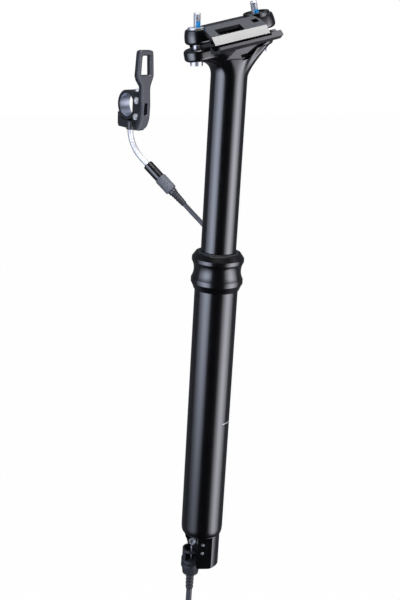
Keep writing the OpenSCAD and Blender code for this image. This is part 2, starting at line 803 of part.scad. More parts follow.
module cable_stop() {
    cup_r = stop_r - 1.3;
    color(black) in_base() difference() {
        union() {
            translate([-cable_reach, 0, 0]) {
                rod(stop_r, flange_end, stop_top);
                rod(stop_r + 0.6, flange_end, flange_top);
                translate([0, 0, flange_end - 6]) cylinder(r1 = stop_r - 0.8, r2 = stop_r, h = 6.1);
                translate([0, 0, stop_end]) cylinder(r1 = cable_r + 1.2, r2 = stop_r - 0.8, h = 2.1);
            }
            rod_y(0, stop_pin_z, cross_pin_r + 1.2, -4.8, 4.8);
            box([-cable_reach, -4.8, stop_pin_z - 4], [1.5, 4.8, stop_pin_z - cross_pin_r]);
        }
        translate([-cable_reach, 0, 0]) {
            rod(cup_r, flange_top, stop_top + past);
            rod(stop_bore_r, stop_end - past, stop_top);
            box([-cup_r + 0.4, -stop_d, flange_top], [cup_r - 0.4, -2, stop_top - 2]);
            for (k = [0:11]) rotate([0, 0, 30 * k]) translate([stop_r + 0.4, 0, stop_end - past])
                cylinder(r = 0.9, h = flange_end - stop_end + past);
            difference() {
                rod(stop_d, flange_top - 3.4, flange_top - 2.4);
                rod(stop_r - 0.2, flange_top - 4, flange_top);
            }
        }
        rod_y(0, stop_pin_z, cross_pin_r + fixed, -slot_half, slot_half);
    }
}

module lower_boot() {
    color(rubber) on_cable() ribbed_sleeve(cable_r + 0.35, cable_r + 0.6, boot_end, stop_end, 4, stop_bore_r);
}

// Remote

module remote_band() {
    color(black) in_remote() difference() {
        union() {
            rod_x(0, 0, band_r, ring_x[0], ring_x[1]);
            box([ring_x[0] + 0.2, block_front + 4, tab_z], [block_x[1], split_y + 2, band_r]);
        }
        rod_x(0, 0, bar_r, -band_w, band_w);
        box([-band_w, block_front, -band_d], [band_w, split_y, tab_z]);
        translate([band_bolt_x, band_bolt_y, 0]) rod(band_bolt_r + fixed, 0, band_d);
    }
}

module remote_bracket() {
    leg = [[block_back, block_foot], [block_back + 1.5, block_foot + 3], [block_back + 1.8, -8],
        [block_back - 2, -8], [block_back - 4, block_sole]];
    color(black) in_remote() difference() {
        union() {
            rod_x(0, 0, band_r, ring_x[0], ring_x[1]);
            box([block_x[0], block_front, block_foot], [block_x[1], -bar_r, tab_z - loose]);
            box([foot_x[0], block_front + 5, block_foot], [foot_x[1], block_back, block_sole]);
            translate([noodle_xy[0], noodle_xy[1], 0]) rod(noodle_r + 1.2, block_foot, block_sole);
            box([noodle_xy[0], noodle_xy[1] - noodle_r - 1.2, block_foot],
                [foot_x[0] + 1, noodle_xy[1] + noodle_r + 1.2, block_sole]);
            bar_x(foot_x[0], foot_x[1]) polygon(leg);
        }
        rod_x(0, 0, bar_r, -band_w, band_w);
        intersection() {
            rod_x(0, 0, band_r + loose, -band_w, band_w);
            box([-band_w, split_y - 0.5, -band_d], [band_w, band_d, band_d]);
        }
        box([-band_w, -band_d, tab_z - loose], [band_w, band_d, band_d]);
        rod_x(pivot_yz[0], pivot_yz[1], pivot_r + fixed, -band_w, band_w);
        rod_x(side_screw_yz[0], side_screw_yz[1], side_screw_r + fixed, -band_w, block_x[1] - 1);
        translate([band_bolt_x, band_bolt_y, 0]) rod(band_bolt_r + fixed, 2, band_d);
        translate([noodle_xy[0], noodle_xy[1], 0])
            rod(noodle_r + noodle_room, block_foot - past, block_foot + 2 + noodle_seat);
    }
}

module band_bolt() {
    color(steel) in_remote() translate([band_bolt_x, band_bolt_y, 0]) difference() {
        union() {
            rod(band_bolt_r, 2.5, band_r + past);
            rod(band_bolt_r + 1.2, band_r, band_r + 2.4);
        }
        translate([0, 0, band_r + 1]) cylinder(d = 2.6, h = 2, $fn = 6);
    }
}

module pivot_bolt() {
    color(steel) in_remote() difference() {
        union() {
            rod_x(pivot_yz[0], pivot_yz[1], pivot_r, block_x[0] - past, lug_x[1] + 0.3);
            rod_x(pivot_yz[0], pivot_yz[1], pivot_r + 1.2, block_x[0] - 1.6, block_x[0]);
        }
        translate([block_x[0] - 3, pivot_yz[0], pivot_yz[1]]) rotate([0, 90, 0])
            cylinder(d = 3.2, h = 3, $fn = 6);
    }
}

module side_screw() {
    color(steel) in_remote() difference() {
        union() {
            rod_x(side_screw_yz[0], side_screw_yz[1], side_screw_r, block_x[0] - past, block_x[1] - 1.5);
            rod_x(side_screw_yz[0], side_screw_yz[1], side_screw_r + 1.5, block_x[0] - 1.4, block_x[0]);
        }
        box([block_x[0] - 2, side_screw_yz[0] - 0.35, side_screw_yz[1] - 4],
            [block_x[0] - 0.8, side_screw_yz[0] + 0.35, side_screw_yz[1] + 4]);
    }
}

module remote_lever() {
    paddle_foot = lever_top - paddle_h;
    low = paddle_w / 2;
    top = low - 1.4;
    lean = -1.2;
    stalk = paddle_w * 0.27;
    tail = block_foot + 1;
    outline = [[-1.8 * stalk, tail], [-0.6 * stalk, tail], [0.5 * stalk, tail + 3],
        [1.04 * stalk, 0.48 * tail], [1.12 * stalk, 0.04 * lever_top], [stalk, 0.22 * lever_top],
        [0.92 * stalk, 0.37 * lever_top], [low - 1.4 + lean, paddle_foot - 1], [low + lean, paddle_foot + 3],
        [top + lean, lever_top - 3], [top - 0.8 + lean, lever_top - 0.8], [top - 3 + lean, lever_top],
        [3 - top + lean, lever_top], [0.8 - top + lean, lever_top - 0.8], [lean - top, lever_top - 3],
        [lean - low, paddle_foot + 3], [lean - low + 1.4, paddle_foot - 1], [-stalk, 0.37 * lever_top],
        [-stalk, 0.15 * lever_top], [-0.8 * stalk, 0], [-0.88 * stalk, 0.38 * tail],
        [-1.4 * stalk, 0.76 * tail]];
    window = low - 5;
    color(black) in_remote() difference() {
        union() {
            translate([lever_x, lever_back - lever_t / 2, 0]) plate_xz(lever_t) polygon(outline);
            rod_x(pivot_yz[0], pivot_yz[1], lug_r, lug_x[0], lug_x[1]);
            box([lever_x, lever_back - 1, pivot_yz[1] - lug_r],
                [lug_x[1], lever_back + 0.8, pivot_yz[1] + lug_r]);
            box([lug_x[0], lever_back - 1, pivot_yz[1] - lug_r],
                [lug_x[1], pivot_yz[0], pivot_yz[1] + lug_r]);
        }
        rod_x(pivot_yz[0], pivot_yz[1], pivot_r + running, 0, 2 * band_w);
        translate([lever_x + lean, lever_back - lever_t / 2, 0]) plate_xz(lever_t + 2 * past)
            polygon([[-window - 0.4, paddle_foot + 4], [window + 0.4, paddle_foot + 4],
                [window - 0.6, lever_top - 5], [-window + 0.6, lever_top - 5]]);
        translate([lever_x, 0, 0]) {
            box([-2.2, lever_back - lever_t - past, -4.4], [2.2, lever_back - 1.4, 2.4]);
            for (z = [-4.4, 2.4]) rod_y(0, z, 2.2, lever_back - lever_t - past, lever_back - 1.4);
        }
    }
}

module cable_nipple() {
    color(steel) in_remote()
        rod_y(lever_x, -4.4, 2.2 - fixed, lever_back - lever_t + 1.2, lever_back - 1.4 - fixed);
}

// Noodle and adjuster

module noodle() {
    last = len(noodle_route) - 1;
    bore_route = concat([noodle_route[0] + [0, 0, past]], [for (i = [1:last - 1]) noodle_route[i]],
        [noodle_route[last] + cable_dir * past]);
    color(steel) difference() {
        sweep(noodle_route, noodle_r, 16);
        sweep(bore_route, noodle_bore_r, 8);
    }
}

module noodle_ferrule() {
    color(black) on_adjuster() difference() {
        union() {
            rod(ferrule_d / 2, 0.8, ferrule_len);
            cylinder(r1 = ferrule_d / 2 - 0.8, r2 = ferrule_d / 2, h = 0.9);
        }
        rod(noodle_r + fixed, -past, noodle_grip + fixed);
        rod(stem_r + fixed, ferrule_len - 7, ferrule_len + past);
        rod(noodle_bore_r, -past, ferrule_len);
    }
}

module adjuster_stem() {
    color(black) on_adjuster() difference() {
        union() {
            rod(stem_r, ferrule_len - 7 + fixed, neck_z + past);
            rod(stem_r + 1.2, neck_z, neck_z + neck_len);
        }
        rod(noodle_bore_r, 0, neck_z + 2 * neck_len);
    }
}

module adjuster_barrel() {
    color(black) on_adjuster() difference() {
        union() {
            rod(adjuster_d / 2, adjuster_z + 0.8, adjuster_z + adjuster_len - 0.8);
            translate([0, 0, adjuster_z]) cylinder(r1 = adjuster_d / 2 - 0.8, r2 = adjuster_d / 2, h = 0.9);
            translate([0, 0, adjuster_z + adjuster_len - 0.9])
                cylinder(r1 = adjuster_d / 2, r2 = adjuster_d / 2 - 0.8, h = 0.9);
        }
        rod(stem_r + running, 0, neck_z + past);
        for (k = [1:flute_count]) rotate([0, 0, 360 * k / flute_count])
            translate([adjuster_d / 2 + 0.25, 0, 0])
                rod(0.6, adjuster_z + 1.6, adjuster_z + adjuster_len - 1.6);
    }
}

module upper_boot() {
    color(rubber) on_adjuster() mirror([0, 0, 1])
        ribbed_sleeve(cable_r + 0.35, cable_r + 1.2, -upper_boot_end, -upper_boot_z, 5, 0.9);
}

// Cable

module lower_cable() {
    color(cord) in_lay() sweep(lower_route, cable_r, 10);
}

module cable_coil() {
    color(cord) in_lay() sweep(coil_route, cable_r, 6);
}

module upper_cable() {
    color(cord) in_lay() sweep(upper_route, cable_r, 10);
}

module coil_tie() {
    tie_w = 4;
    tie_t = 1;
    low = [coil_at[0] - cable_r - loose, coil_at[1] - tie_w / 2,
        coil_z + coil_radius(1.75) - cable_r - loose];
    high = [coil_at[0] + coil_step + cable_r + loose, coil_at[1] + tie_w / 2,
        coil_z + coil_radius(coil_turns - 0.5) + cable_r + loose];
    color(black) in_lay() difference() {
        union() {
            box(low - [tie_t, 0, tie_t], high + [tie_t, 0, tie_t]);
            box([high[0], low[1] - 0.6, high[2] - 5], high + [3.2, 0.6, 0]);
        }
        box(low - [0, past, 0], high + [0, past, 0]);
    }
}

outer_tube();
seal_collar();
wiper_seal();
collar_o_ring();
upper_bush();
top_out_bumper();
stanchion();
seat_head();
lower_bush();
guide_keys();
gas_cylinder();
cylinder_gland();
cartridge_nut();
gas_rod();
rod_piston();
piston_ring();
valve_pin();
cradle();
upper_clamp();
front_bolt();
rear_bolt();
front_nut();
rear_nut();
actuator_housing();
actuator_pins();
actuator_lever();
cable_barrel();
grub_screw();
inner_wire();
cable_stop();
lower_boot();
lower_cable();
cable_coil();
coil_tie();
upper_cable();
upper_boot();
adjuster_stem();
adjuster_barrel();
noodle_ferrule();
noodle();
remote_bracket();
remote_band();
band_bolt();
pivot_bolt();
side_screw();
remote_lever();
cable_nipple();
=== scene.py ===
"""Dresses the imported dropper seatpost: turned tubes, forgings, cut threads, the cable and their finishes."""

import json
import math

import bpy
from mathutils import Matrix, Vector


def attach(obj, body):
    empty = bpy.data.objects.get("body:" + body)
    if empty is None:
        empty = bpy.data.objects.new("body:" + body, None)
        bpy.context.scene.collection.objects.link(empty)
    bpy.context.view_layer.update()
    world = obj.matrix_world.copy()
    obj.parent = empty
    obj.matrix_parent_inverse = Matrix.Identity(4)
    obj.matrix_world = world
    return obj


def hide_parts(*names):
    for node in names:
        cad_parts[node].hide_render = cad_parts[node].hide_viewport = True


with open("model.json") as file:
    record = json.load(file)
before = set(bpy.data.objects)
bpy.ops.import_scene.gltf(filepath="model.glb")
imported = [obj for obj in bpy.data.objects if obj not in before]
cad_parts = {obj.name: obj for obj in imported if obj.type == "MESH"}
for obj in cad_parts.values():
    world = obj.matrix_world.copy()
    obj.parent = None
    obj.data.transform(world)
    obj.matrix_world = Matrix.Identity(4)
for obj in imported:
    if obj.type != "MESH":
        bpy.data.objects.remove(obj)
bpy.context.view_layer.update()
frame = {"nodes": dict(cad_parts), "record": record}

bl_info = {
    "name": "Dropper seatpost",
    "version": (1, 0, 0),
    "blender": (4, 5, 0),
    "location": "View3D > Sidebar > Seatpost",
    "description": "Models and finishes a dropper seatpost round its packed frame",
    "category": "Object",
}

MM = 0.001


def at(x, y, z):
    """A shift in millimetres."""
    return Matrix.Translation(Vector((x, y, z)) * MM)


def swing(angle, axis):
    """A turn in degrees."""
    return Matrix.Rotation(math.radians(angle), 4, axis)


# Frames of the pieces, as in the part's source
CLAMP = at(-4.4, 0, 185) @ swing(-13.5, "Y")
FRONT_BOLT = CLAMP @ at(-21.5, 0, 0) @ swing(11, "Y")
REAR_BOLT = CLAMP @ at(21.5, 0, -0.8)
BASE = swing(-16, "Z")
STRAND = BASE @ at(-6.8, 0, 0)
REMOTE = at(47.1, 331.8, 85) @ swing(17, "Z")
ADJUSTER = at(60.792, 306.311, 31.073) @ swing(-42, "Z") @ swing(131, "Y")
LAY = swing(-24, "Z")


def in_clamp(x, y, z):
    """A point in the clamp's frame, in millimetres."""
    return CLAMP @ (Vector((x, y, z)) * MM)


def linear(code):
    """An sRGB hex colour as linear red, green and blue."""
    parts = [int(code[i:i + 2], 16) / 255 for i in (1, 3, 5)]
    return tuple(c / 12.92 if c <= 0.04045 else ((c + 0.055) / 1.055) ** 2.4 for c in parts)


def colour_property(label, note, code):
    """A colour, given as sRGB hex."""
    return bpy.props.FloatVectorProperty(
        name=label, description=note, default=linear(code), size=3, subtype="COLOR", min=0, max=1)


def length_property(label, note, size):
    """A length, given in millimetres."""
    return bpy.props.FloatProperty(name=label, description=note, default=size * MM, unit="LENGTH", min=0)


class SeatpostSizes(bpy.types.PropertyGroup):
    """Sizes that a user would change."""

    forging_edge: length_property("Forging edge", "Rounding of the clamp's and head's edges", 0.7)
    lever_edge: length_property("Lever edge", "Rounding of the thumb lever's edges", 1.7)
    small_edge: length_property("Small edge", "Rounding of the small parts' edges", 0.3)
    thread_pitch: length_property("Thread pitch", "Pitch of the clamp bolts' thread", 0.8)
    cable_diameter: length_property("Cable diameter", "Outside diameter of the cable housing", 4.5)


class SeatpostColours(bpy.types.PropertyGroup):
    """Colours that a user would change."""

    anodised: colour_property("Anodised black", "Tubes, head and saddle clamp", "#020203")
    satin: colour_property("Satin black", "Remote and its lever", "#25272f")
    adjuster: colour_property("Adjuster grey", "Barrel adjuster", "#4c4f57")
    steel: colour_property("Plated steel", "Bolts, nuts and pins", "#c4c5c8")
    thread_lock: colour_property("Thread lock", "Nylon patch on the clamp bolts", "#1c9bd8")
    sheath: colour_property("Cable sheath", "Outside of the cable housing", "#393a41")
    rubber: colour_property("Rubber", "Seal and boots", "#222327")


def settings():
    """The sizes and the colours that a user would change."""
    return bpy.context.scene.seatpost_sizes, bpy.context.scene.seatpost_colours


# Materials


def add_node(tree, kind, inputs=None, **values):
    """Adds a node with its settings, and sets or links its inputs."""
    made = tree.nodes.new(kind)
    for name, value in values.items():
        setattr(made, name, value)
    for name, value in (inputs or {}).items():
        if isinstance(value, bpy.types.NodeSocket):
            tree.links.new(value, made.inputs[name])
        else:
            made.inputs[name].default_value = value
    return made


def blank_material(name):
    """A material with one shader, and the place on the piece that its patterns read."""
    mat = bpy.data.materials.new(name)
    mat.use_nodes = True
    tree = mat.node_tree
    tree.nodes.clear()
    shader = add_node(tree, "ShaderNodeBsdfPrincipled")
    add_node(tree, "ShaderNodeOutputMaterial", {"Surface": shader.outputs["BSDF"]})
    place = add_node(tree, "ShaderNodeTexCoord").outputs["Object"]
    return mat, tree, shader, place


# A blasted or moulded grain is a few hundredths of a millimetre wide, too fine to show in the render, so each
# one is drawn about ten times as coarse.
CLOUD_WIDTH = 12
GRAIN_STRENGTH = 0.2


def grained(tree, shader, place, colour, spread, roughness, grain, depth, drift=0.05):
    """Broad clouds of colour and gloss, and a fine grain whose size and depth are in millimetres."""
    cloud = add_node(tree, "ShaderNodeTexNoise", {
        "Vector": place, "Scale": 1 / (CLOUD_WIDTH * MM), "Detail": 3.0})
    grit = add_node(tree, "ShaderNodeTexNoise", {"Vector": place, "Scale": 1 / (grain * MM), "Detail": 2.0})
    lighter = tuple(min(1, c * spread + 0.002) for c in colour)
    tone = add_node(tree, "ShaderNodeMix", {
        "Factor": cloud.outputs["Fac"], "A": (*colour, 1), "B": (*lighter, 1)}, data_type="RGBA")
    gloss = add_node(tree, "ShaderNodeMapRange", {
        "Value": cloud.outputs["Fac"], "To Min": roughness - drift, "To Max": roughness + drift})
    bump = add_node(tree, "ShaderNodeBump", {
        "Height": grit.outputs["Fac"], "Strength": GRAIN_STRENGTH, "Distance": depth * MM})
    tree.links.new(tone.outputs["Result"], shader.inputs["Base Color"])
    tree.links.new(gloss.outputs["Result"], shader.inputs["Roughness"])
    tree.links.new(bump.outputs["Normal"], shader.inputs["Normal"])


def anodised_aluminium(name, colour, roughness, grain=0.5, depth=0.004):
    """Anodised aluminium: a dyed oxide film of IOR 1.77, so a hard clear gloss over a fine blasted grain."""
    mat, tree, shader, place = blank_material(name)
    grained(tree, shader, place, colour, 1.3, roughness, grain, depth, 0.03)
    shader.inputs["IOR"].default_value = 1.77
    return mat


def moulded(name, colour, roughness, grain, depth):
    """Moulded nylon or rubber: a dull skin with the fine spark texture of its mould."""
    mat, tree, shader, place = blank_material(name)
    grained(tree, shader, place, colour, 1.25, roughness, grain, depth)
    return mat


def metal(name, colour, roughness, grain, depth):
    """Bare or plated metal: bright, with fine tool marks and clouded gloss."""
    mat, tree, shader, place = blank_material(name)
    grained(tree, shader, place, colour, 1.12, roughness, grain, depth)
    shader.inputs["Metallic"].default_value = 1
    return mat


finishes = {}


def make_finishes():
    """Every finish of the seatpost, by a short name."""
    colours = settings()[1]
    anodised, satin = tuple(colours.anodised), tuple(colours.satin)
    finishes.update(
        # Drawn and polished before its dye: deep black with two soft highlights down its length
        tube=anodised_aluminium("anodised_tube", anodised, 0.22),
        # Forged and tumbled: the same black over a broader grain, so edges glint and hollows stay dark
        forging=anodised_aluminium("anodised_forging", anodised, 0.22, 0.7, 0.003),
        # Turned: as glossy as the tube, so its waist bends the highlights
        collar=anodised_aluminium("anodised_collar", anodised, 0.22),
        # Blasted to a satin: a charcoal face with a wide, weak sheen
        satin=anodised_aluminium("satin_anodised", satin, 0.42, 0.6, 0.002),
        # The bracket's blasted black: a shade darker than the lever
        bracket=anodised_aluminium("blasted_anodised", linear("#1d1e23"), 0.4, 0.6, 0.002),
        # Grey and matt, so that the flutes show by their shade and not by glints
        adjuster=anodised_aluminium("grey_anodised", tuple(colours.adjuster), 0.6, 0.6, 0.001),
        # Bored and left bare: a cool bright band inside the bar's seat
        bore=metal("bored_aluminium", linear("#c3c9d6"), 0.36, 0.6, 0.002),
        # Zinc plating: bright but clouded, without sharp reflections
        steel=metal("plated_steel", tuple(colours.steel), 0.46, 0.5, 0.002),
        # Hot oxide bath: nearly black, with a faint sheen of metal
        oxide=metal("black_oxide_steel", linear("#15161a"), 0.45, 0.5, 0.002),
        # Nearly white steel. The roughness is high for a polish: on so thin a tube it spreads the highlight
        noodle=metal("polished_stainless", linear("#f4f4f4"), 0.6, 2, 0.0005),
        # Sprayed nylon: a clear flat blue between the thread's flanks
        patch=moulded("nylon_thread_lock", tuple(colours.thread_lock), 0.5, 0.3, 0.006),
        # Spark-textured mould: charcoal with a soft sheen
        nylon=moulded("moulded_nylon", linear("#232429"), 0.42, 0.35, 0.005),
        # Soft and matt: it shows its ribs only by shade
        rubber=moulded("moulded_rubber", tuple(colours.rubber), 0.55, 0.3, 0.008),
        # Extruded over its wires: smooth, so one thin highlight runs along it
        sheath=moulded("extruded_sheath", tuple(colours.sheath), 0.3, 0.5, 0.003),
        # Turned and left bare: a warm yellow with tool marks
        brass=metal("turned_brass", linear("#b8923f"), 0.32, 0.3, 0.006),
        # Filled bearing polymer: dull olive grey
        bush=moulded("filled_polymer", linear("#77735f"), 0.55, 0.4, 0.008),
    )
    mark_insertion_line(finishes["tube"])


LINE_Z, LINE_HALF = -100, 0.3
LINE_AHEAD, LINE_REACH = -55, 16


def mark_insertion_line(mat):
    """Lasers a short pale line round the front of the outer tube, 100 mm below its collar."""
    tree = mat.node_tree
    shader = next(n for n in tree.nodes if n.type == "BSDF_PRINCIPLED")
    tone = shader.inputs["Base Color"].links[0].from_socket
    place = next(n for n in tree.nodes if n.type == "TEX_COORD").outputs["Object"]
    parts = add_node(tree, "ShaderNodeSeparateXYZ", {"Vector": place})
    angle = add_node(tree, "ShaderNodeMath", {
        0: parts.outputs["Y"], 1: parts.outputs["X"]}, operation="ARCTAN2")
    near = add_node(tree, "ShaderNodeMath", {
        0: parts.outputs["Z"], 1: LINE_Z * MM, 2: LINE_HALF * MM}, operation="COMPARE")
    ahead = add_node(tree, "ShaderNodeMath", {
        0: angle.outputs[0], 1: math.radians(LINE_AHEAD), 2: math.radians(LINE_REACH)}, operation="COMPARE")
    both = add_node(tree, "ShaderNodeMath", {0: near.outputs[0], 1: ahead.outputs[0]}, operation="MULTIPLY")
    marked = add_node(tree, "ShaderNodeMix", {
        "Factor": both.outputs[0], "A": tone, "B": (*linear("#b9babd"), 1)}, data_type="RGBA")
    tree.links.new(marked.outputs["Result"], shader.inputs["Base Color"])


# Ways of working


def clear_selection():
    """Leaves edit mode and deselects everything."""
    active = bpy.context.view_layer.objects.active
    if active and active.mode != "OBJECT":
        bpy.ops.object.mode_set(mode="OBJECT")
    bpy.ops.object.select_all(action="DESELECT")


def take_up(obj):
    """Makes a piece the only selected one."""
    clear_selection()
    obj.select_set(True)
    bpy.context.view_layer.objects.active = obj


def open_up(obj):
    """Takes a piece into edit mode, with all of it selected."""
    take_up(obj)
    bpy.ops.object.mode_set(mode="EDIT")
    bpy.ops.mesh.select_all(action="SELECT")


def close_up():
    """Leaves edit mode."""
    bpy.ops.object.mode_set(mode="OBJECT")


def clean_mesh(obj, gap=0.002):
    """Merges a piece's doubles and turns its faces outwards."""
    open_up(obj)
    bpy.ops.mesh.remove_doubles(threshold=gap * MM)
    bpy.ops.mesh.normals_make_consistent(inside=False)
    close_up()


def cut_off(obj, point, outward):
    """Cuts off what lies beyond a plane, and closes the cut."""
    open_up(obj)
    bpy.ops.mesh.bisect(plane_co=point, plane_no=outward, use_fill=True, clear_outer=True)
    close_up()


def apply_modifier(obj, kind, **values):
    """Adds a modifier with its settings, and applies it."""
    take_up(obj)
    bpy.ops.object.modifier_add(type=kind)
    made = obj.modifiers[-1]
    for name, value in values.items():
        setattr(made, name, value)
    bpy.ops.object.modifier_apply(modifier=made.name)


def seat(obj, place):
    """Puts a finished piece in its place, with the place in its mesh."""
    take_up(obj)
    obj.matrix_world = place @ obj.matrix_world
    bpy.ops.object.transform_apply(location=True, rotation=True, scale=True)


def ease(obj, width, segments=2, angle=30):
    """Rounds a piece's sharp edges."""
    apply_modifier(obj, "BEVEL", width=width, segments=segments, limit_method="ANGLE",
                   angle_limit=math.radians(angle), use_clamp_overlap=True)


def smooth(obj, angle=35):
    """Smooths a piece's shading up to an angle, with flat faces kept flat between their rounded edges."""
    take_up(obj)
    bpy.ops.object.shade_smooth_by_angle(angle=math.radians(angle))
    apply_modifier(obj, "WEIGHTED_NORMAL", keep_sharp=True, weight=80)


def finish(obj, material, node):
    """Gives a piece its finish, and lets it stand for a CAD node on that node's body."""
    obj.data.materials.clear()
    obj.data.materials.append(finishes[material])
    body = next(b for b, nodes in frame["record"]["behaviour"]["bodies"].items() if node in nodes)
    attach(obj, body)
    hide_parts(node)


# The radius that stands for a lathe's axis, where a ring's size can't be nought
AXIS = 1e-4


def turn_on_lathe(name, profile, steps=96, closed=True):
    """Turns a profile of radii and heights: a ring is extruded and sized from each to the next."""
    clear_selection()
    radius, height = profile[0]
    bpy.ops.mesh.primitive_circle_add(vertices=steps, radius=radius * MM)
    obj = bpy.context.object
    obj.name = name
    open_up(obj)
    bpy.ops.transform.translate(value=(0, 0, height * MM))
    for r, z in profile[1:] + (profile[:1] if closed else []):
        r = max(r, AXIS)
        bpy.ops.mesh.extrude_region_move(TRANSFORM_OT_translate={"value": (0, 0, (z - height) * MM)})
        share = r / radius
        bpy.ops.transform.resize(value=(share, share, 1), center_override=(0, 0, z * MM))
        radius, height = r, z
    close_up()
    clean_mesh(obj)
    return obj


def arc(x, z, r, start, end, steps):
    """Points of an arc in a profile."""
    angles = [math.radians(start + (end - start) * i / steps) for i in range(steps + 1)]
    return [(x + r * math.cos(a), z + r * math.sin(a)) for a in angles]


def copy_solid(node, name):
    """A merged copy of a CAD node, with the triangles of each flat face joined."""
    clear_selection()
    obj = bpy.data.objects.new(name, frame["nodes"][node].data.copy())
    bpy.context.scene.collection.objects.link(obj)
    open_up(obj)
    bpy.ops.mesh.remove_doubles(threshold=0.004 * MM)
    bpy.ops.mesh.dissolve_limited(angle_limit=math.radians(0.6))
    close_up()
    return obj


def eased_solid(node, name, width, material, segments=2, angle=30):
    """A CAD node with its sharp edges rounded, as they are on the real piece."""
    obj = copy_solid(node, name)
    ease(obj, width, segments, angle)
    smooth(obj, angle)
    finish(obj, material, node)
    return obj


def between(points):
    """Points with one more on the curve between each two."""
    last = len(points) - 1
    made = []
    for i, p in enumerate(points):
        made.append(p)
        if i < last:
            outer = points[max(i - 1, 0)] + points[min(i + 2, last)]
            made.append((9 * (p + points[i + 1]) - outer) / 16)
    return made


def run_tube(name, route, radius, resolution):
    """A round tube along a route in metres, made from a curve."""
    clear_selection()
    line = bpy.data.curves.new(name, "CURVE")
    line.dimensions = "3D"
    line.bevel_depth = radius
    line.bevel_resolution = resolution
    line.use_fill_caps = True
    spline = line.splines.new("POLY")
    spline.points.add(len(route) - 1)
    for point, p in zip(spline.points, route):
        point.co = (*p, 1)
    obj = bpy.data.objects.new(name, line)
    bpy.context.scene.collection.objects.link(obj)
    take_up(obj)
    bpy.ops.object.convert(target="MESH")
    obj = bpy.context.object
    clean_mesh(obj)
    smooth(obj, 40)
    return obj


# Cable

CABLE_REACH, CABLE_TURN = 6.8, 8
BOOT_END = -242.5
COIL_DROP = 73.5
COIL_TURNS, COIL_INNER_R, COIL_GAP = 4.25, 20, 0.7
LOOP_RINGS = 24
LOOP_START = Vector((-1.5, 34, -346.5))
LOOP_END = Vector((-30.5, 292, -4))
LOOP_POINTS = [Vector(p) for p in (
    (-2, 49, -346), (-3.2, 65, -343), (-4.5, 83, -337.5), (-5.5, 102, -329), (-6, 121, -317.5),
    (-6, 140, -303), (-6, 158, -286), (-6, 175, -266.5), (-6, 190.5, -245), (-5.5, 205, -222),
    (-5, 218, -198), (-4, 230, -173), (-3, 241, -148), (-1.5, 251, -123), (0, 260, -98),
    (1.5, 268, -74), (2, 272.5, -60), (1, 276.5, -48), (-1.5, 280, -38), (-5.5, 283.2, -29))]
ROUTE_END = Vector((-31.225, 292.265, -3.502))
ROUTE_DIR = Vector((0.71777, -0.23322, -0.65606))


def cable_route(diameter):
    """The cable's route in metres: down from the lower boot, round its coil, and up to the upper boot."""
    across = -CABLE_REACH * math.cos(math.radians(CABLE_TURN))
    deep = -CABLE_REACH * math.sin(math.radians(CABLE_TURN))
    step = diameter + COIL_GAP
    coil_r = COIL_INNER_R + 2 * step
    coil_at = Vector((across, deep + coil_r, BOOT_END - COIL_DROP))
    coil_exit = coil_at + Vector((step, diameter, -coil_r))
    down = [Vector((across, deep, BOOT_END - share * (COIL_DROP - diameter)))
            for share in (0, 0.2, 0.4, 0.6, 0.8, 1)]
    coil = []
    for i in range(int(COIL_TURNS * LOOP_RINGS) + 1):
        t = i / LOOP_RINGS
        r = coil_r - step * min(t, COIL_TURNS - t)
        climb = step * max(0, min(1, (t - COIL_TURNS / 2) * 2 + 0.5))
        a = math.radians(180 + 360 * t)
        coil.append(coil_at + Vector((climb, r * math.cos(a), r * math.sin(a))))
    loop = []
    for i, p in enumerate(LOOP_POINTS):
        share = (i + 1) / (len(LOOP_POINTS) + 1)
        loop.append(p + (coil_exit - LOOP_START) * (1 - share) + (ROUTE_END - LOOP_END) * share)
    up = [coil_exit, coil_exit + Vector((0, diameter, 0)), *loop]
    up += [ROUTE_END + ROUTE_DIR * back for back in (27, 14, diameter, 0)]
    return [LAY @ (p * MM) for p in between(between(down + coil + up))]


class SEATPOST_OT_cable(bpy.types.Operator):
    """Lays the cable housing along its route"""

    bl_idname = "seatpost.cable"
    bl_label = "Cable"

    def execute(self, context):
        diameter = settings()[0].cable_diameter
        route = cable_route(diameter / MM)
        cable = run_tube("cable_housing", route, diameter / 2, 4)
        finish(cable, "sheath", "lower_cable")
        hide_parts("cable_coil", "upper_cable")
        tie = eased_solid("coil_tie", "coil_strap", 0.35 * MM, "nylon", 2)
        return {"FINISHED"}


# Tubes

OUTER_R = 15.45
STANCHION_R = 12.5
HEAD_Z = 149


class SEATPOST_OT_tubes(bpy.types.Operator):
    """Turns the outer tube, its collar and seal, and the stanchion"""

    bl_idname = "seatpost.tubes"
    bl_label = "Tubes and collar"

    def execute(self, context):
        foot = [(OUTER_R - (1 - math.cos(math.radians(a))), -186 - 6 * math.sin(math.radians(a)))
                for a in range(0, 91, 10)]
        tube = turn_on_lathe("outer_tube_body", [
            (14, 14), (14.8, 14), (15.015, 13.7), (15.015, 0), (OUTER_R, 0), *foot, (14, -192)])
        smooth(tube)
        finish(tube, "tube", "outer_tube")
        collar = turn_on_lathe("seal_collar_body", collar_profile(), 128)
        smooth(collar, 40)
        finish(collar, "collar", "seal_collar")
        lip = STANCHION_R + 1.3
        seal = turn_on_lathe("wiper_seal_body", [
            (STANCHION_R + 0.8, 17.03), (15, 17.03), (15, 26), (lip + 0.6, 26.4),
            *arc(lip, 27.1, 0.6, 0, 120, 6), (STANCHION_R + 0.05, 27.3), (STANCHION_R + 0.05, 25.5),
            (STANCHION_R + 0.8, 24)])
        smooth(seal, 40)
        finish(seal, "rubber", "wiper_seal")
        stanchion = turn_on_lathe("stanchion_body", [
            (10.7, -50), (12, -50), (12, -33.5), (STANCHION_R, -33.2), (STANCHION_R, HEAD_Z), (10.7, HEAD_Z)])
        smooth(stanchion)
        finish(stanchion, "tube", "stanchion")
        return {"FINISHED"}


